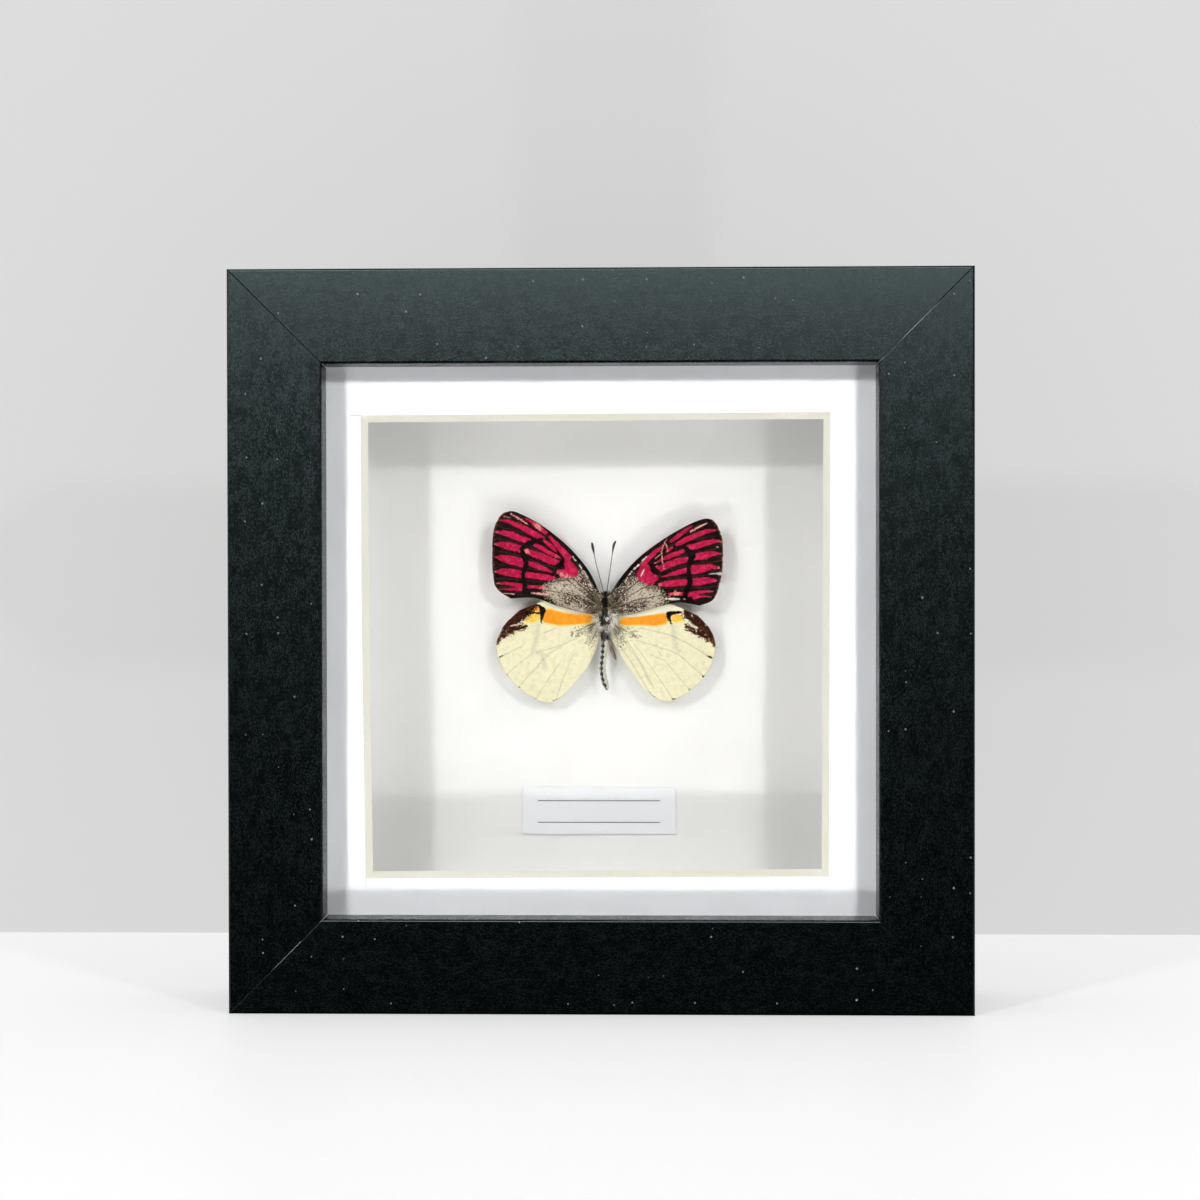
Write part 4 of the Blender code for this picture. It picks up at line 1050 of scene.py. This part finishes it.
SWIRL_X, SWIRL_Z, SWIRL_RADIUS = 0.86, -1.0, 0.62
for step, tone in enumerate((0.95, 0.3, 0.85, 0.1, 0.9, 0.5, 0.95, 0.15, 0.75, 0.3)):
    turn = 2 * math.pi * step / 10
    x, z = SWIRL_X + SWIRL_RADIUS * math.cos(turn), SWIRL_Z + SWIRL_RADIUS * math.sin(turn)
    TUFTS.append((x, z, math.degrees(turn) + 105, 0.75, 0.2, 34, tone))
HAIR_WIDTH = 0.08 * MM
HAIR_DROOP = np.array([0, 0.30, -0.06])
HAIR_STEPS = ((0.0, 1.0), (0.4, 0.9), (0.75, 0.6), (1.0, 0.1))  # along it, and how wide
LOCK_RADIUS = 0.22
WING_COAT_DEPTH = 23.55 * MM


def coat_roots(rng):
    """Roots, directions, lengths and tones of every hair of the coat."""
    path, radii = spine_points(BODY_SPINE, 300)
    locks = []
    for x, z, lie, length, spread, count, tone in TUFTS:
        at_x = x + rng.normal(scale=LOCK_RADIUS, size=count)
        at_z = z + rng.normal(scale=LOCK_RADIUS, size=count)
        nearest = np.abs(path[:, 1][:, None] - at_z).argmin(axis=0)
        off = at_x - path[nearest, 0]
        bulge = np.sqrt(np.clip(radii[nearest] ** 2 - off ** 2, 0, None))
        deep = np.where(bulge > 0, BODY_DEPTH - (bulge - 0.08) * MM, WING_COAT_DEPTH)
        deep = np.minimum(deep, WING_COAT_DEPTH + np.where(at_z > -4.2, 0, 1) * MM)
        roots = np.column_stack([THORAX.x + at_x * MM, FRONT + deep, THORAX.z + at_z * MM])
        angle = math.radians(lie) + rng.normal(scale=spread, size=count)
        way = np.column_stack([np.cos(angle), rng.uniform(-0.42, -0.02, count), np.sin(angle)])
        way /= np.linalg.norm(way, axis=1)[:, None]
        lengths = length * rng.uniform(0.6, 1.15, count) * MM
        locks.append((roots, way, lengths, np.clip(tone + rng.normal(scale=0.20, size=count), 0, 1)))
    return [np.concatenate(kind) for kind in zip(*locks)]


def hairs(rng, roots, ways, lengths, tones):
    """Blades of three quads each that droop towards their tips."""
    side = np.cross(ways, np.array([0, 1, 0]) + rng.normal(scale=0.35, size=(len(roots), 3)))
    side /= np.linalg.norm(side, axis=1)[:, None]
    rows = []
    for t, wide in HAIR_STEPS:
        middle = roots + ways * (lengths * t)[:, None] + HAIR_DROOP * (lengths * t * t)[:, None]
        rows += [middle - side * HAIR_WIDTH * wide / 2, middle + side * HAIR_WIDTH * wide / 2]
    points = np.stack(rows, 1).reshape(-1, 3)
    firsts = [hair * 8 + k for hair in range(len(roots)) for k in (0, 2, 4)]
    made = drawn([tuple(point) for point in points], [(a, a + 1, a + 3, a + 2) for a in firsts])
    keep(made, "tone", np.repeat(tones, 8))
    return made


hair = Finish("coat_hair", (0.1, 0.08, 0.05), 0.7)
tone = hair.attribute("tone")
ramp = hair.add("ValToRGB", {"Fac": tone})
stops = ramp.color_ramp.elements
for stop_at, colour in (
    (0.25, (0.022, 0.014, 0.008)), (0.5, (0.16, 0.115, 0.055)), (0.72, (0.36, 0.33, 0.25)),
):
    stops.new(stop_at).color = (*colour, 1)
stops[0].color = (0.003, 0.0025, 0.002, 1)
stops[-1].color = (0.72, 0.70, 0.64, 1)
hair.look(Base_Color=ramp.outputs["Color"], Roughness=hair.remap(tone, 0, 1, 0.5, 0.8),
          Specular_IOR_Level=0.15)

rng = np.random.default_rng(7)
coat = hairs(rng, *coat_roots(rng))
finished(body, "butterfly", "body", ["butterfly_body"], skin)
finished(coat, "butterfly_hair", "body", None, hair)

# ---------------------------------------------------------------------------------------------
# Antennae and leg. Two slender ringed antennae end in black clubs; the right club is bent over.
# One short dry leg lies between the abdomen and the right hindwing.

horn = Finish("antenna_horn", (0.02, 0.015, 0.012), 0.45)
bands = horn.noise(horn.spot((800, 800, 5200)), 1.0, 2.0, 0.6)
horn.look(Base_Color=horn.two_tone(bands, 0.45, 0.6, (0.008, 0.007, 0.007), (0.10, 0.085, 0.07)))
horn.sheen(bands, 0.35, 0.6)
club = Finish("antenna_club", (0.006, 0.005, 0.005), 0.5)
fuzz = club.noise(club.spot(), 5200, 4.0, 0.7)
club.look(Base_Color=club.two_tone(fuzz, 0.35, 0.7, (0.004, 0.004, 0.004), (0.022, 0.018, 0.016)))
club.sheen(fuzz, 0.4, 0.65)
club.relief(fuzz, 0.02 * MM)

ANTENNAE = {
    "left": [(-0.1, 4.2, 0.10), (-0.35, 5.0, 0.08), (-0.75, 6.5, 0.088), (-1.2, 8.2, 0.088),
             (-1.65, 9.8, 0.088), (-1.95, 11.2, 0.08), (-2.2, 12.5, 0.09), (-2.32, 13.1, 0.19),
             (-2.5, 13.9, 0.30), (-2.64, 14.7, 0.26), (-2.72, 15.1, 0.10)],
    "right": [(0.45, 4.2, 0.10), (0.60, 5.0, 0.08), (0.90, 7.2, 0.088), (1.2, 9.1, 0.088),
              (1.45, 10.9, 0.088), (1.64, 12.2, 0.08), (1.75, 13.0, 0.11), (1.86, 13.7, 0.22),
              (2.02, 14.5, 0.29), (2.28, 15.1, 0.22), (2.5, 15.42, 0.09)],
}
CLUB_FROM = THORAX.z + 12.7 * MM
for side, spine in ANTENNAE.items():
    feeler = tube(spine, BODY_DEPTH - 0.6 * MM, 120, 12, rings=0.14, ring_from=12.2)
    finished(feeler, f"feeler_{side}", "antenna", [f"antenna_{side}"], horn, club)
    for face in feeler.data.polygons:
        face.material_index = int(face.center.z > CLUB_FROM)

leg_skin = Finish("leg_cuticle", (0.17, 0.10, 0.06), 0.6)
dry = leg_skin.noise(leg_skin.spot((1500, 1500, 600)), 1.0, 4.0, 0.6)
tone = leg_skin.two_tone(dry, 0.35, 0.65, (0.065, 0.038, 0.022), (0.32, 0.24, 0.165))
leg_skin.look(Base_Color=tone)
leg_skin.sheen(dry, 0.5, 0.7)
leg_skin.relief(dry, 0.03 * MM)
LEG_SPINE = [(1.0, -5.6, 0.20), (1.15, -6.4, 0.30), (1.35, -7.4, 0.40), (1.60, -8.3, 0.46),
             (1.95, -9.1, 0.38), (2.25, -9.8, 0.32), (2.40, -10.3, 0.12)]
leg = tube(LEG_SPINE, 24.1 * MM, 40, 12, flatten=0.6)
finished(leg, "leg", "body", ["hind_leg"], leg_skin)

# ---------------------------------------------------------------------------------------------
# Studio. A plain pale floor and wall, a soft light beyond each corner of the frame, and three
# broad cards that only the black foil reflects.

FLOOR_SPAN = 6.0
WALL_AT = 0.110
EYE = Vector((0.0173, -0.5913, 0.0930))
TURN, TILT, ROLL = (math.radians(angle) for angle in (1.721, -0.685, 0.092))
LENS = 83.07


def backdrop(name, colour, glow, **plane):
    """A big plane that also glows a little, so that it stays evenly pale."""
    made = start("plane", size=FLOOR_SPAN, **plane)
    matt = Finish(name, colour, 0.5)
    clouds = matt.noise(matt.spot(), 1.2)
    pale = matt.mix(clouds, colour, tuple(c * 0.97 for c in colour))
    matt.look(Base_Color=pale, Emission_Color=pale, Emission_Strength=glow, Specular_IOR_Level=0.1)
    made.name = name
    made.data.materials.append(matt.material)
    made.visible_shadow = False
    return made, matt


floor, _ = backdrop("studio_floor", (0.80, 0.80, 0.80), 0.45, location=(0, 0, -0.02 * MM))
floor.visible_glossy = floor.visible_transmission = False
wall, wall_paint = backdrop("studio_wall", (0.30, 0.30, 0.30), 1.3, rotation=(math.pi / 2, 0, 0),
                            location=(0, WALL_AT, FLOOR_SPAN / 2))
wall_paint.clear_where(wall_paint.add("NewGeometry").outputs["Backfacing"])
wall.visible_diffuse = False


def linked(name, data):
    made = bpy.data.objects.new(name, data)
    bpy.context.scene.collection.objects.link(made)
    return made


def soft_light(name, across, up, distance, wide, high, power):
    """An area light aimed at the specimen, turned off the frame's axis by two angles."""
    data = bpy.data.lights.new(name, "AREA")
    data.shape = "RECTANGLE"
    data.size, data.size_y, data.energy = wide, high, power
    made = linked(name, data)
    across, up = math.radians(across), math.radians(up)
    way = Vector((math.tan(across), -1, math.tan(up) / math.cos(across))).normalized()
    made.location = MIDDLE + way * distance
    made.rotation_euler = (-way).to_track_quat("-Z", "Y").to_euler()
    made.visible_glossy = False
    return made


for name, across, up, power in (
    ("upper_left", -33, 23.1, 4.7), ("upper_right", 33, 23.1, 4.15),
    ("lower_left", -33, -34.2, 3.1), ("lower_right", 33, -34.2, 3.75),
):
    soft_light(f"{name}_light", across, up, 1.5, 0.10, 0.10, power)

foil_only = bpy.data.collections.new("foil_only")
for piece in rails:
    foil_only.objects.link(piece)
for name, across, up, wide, high, power in (
    ("sheen", -16, 26.9, 1.8, 0.8, 26.0), ("left", -70, -14, 1.5, 1.0, 2.6),
    ("right", 70, -14, 1.5, 1.0, 2.6),
):
    card = soft_light(f"{name}_card", across, up, 1.4, wide, high, power)
    card.light_linking.receiver_collection = foil_only
    card.visible_glossy = True
    card.visible_diffuse = card.visible_transmission = False

world = bpy.data.worlds.new("studio")
world.use_nodes = True
bpy.context.scene.world = world
sky = Nodes(world.node_tree)
seen = world.node_tree.nodes["Background"]
sky.give(seen.inputs["Color"], (0.80, 0.80, 0.80))
sky.give(seen.inputs["Strength"], 0.78)
dark = sky.add("Background", {"Color": (0.002, 0.003, 0.004)})
reflected = sky.add("LightPath").outputs["Is Glossy Ray"]
either = sky.add("MixShader", {0: reflected, 1: seen.outputs[0], 2: dark.outputs[0]})
sky.give(world.node_tree.nodes["World Output"].inputs["Surface"], either.outputs[0])

camera_data = bpy.data.cameras.new("camera")
camera_data.lens = LENS
camera_data.sensor_width = 36
camera_data.clip_start = 0.01
camera = linked("camera", camera_data)
camera.location = EYE
camera.rotation_euler = (math.pi / 2 + TILT, ROLL, TURN)
bpy.context.scene.camera = camera
bpy.context.scene.view_settings.view_transform = "Standard"
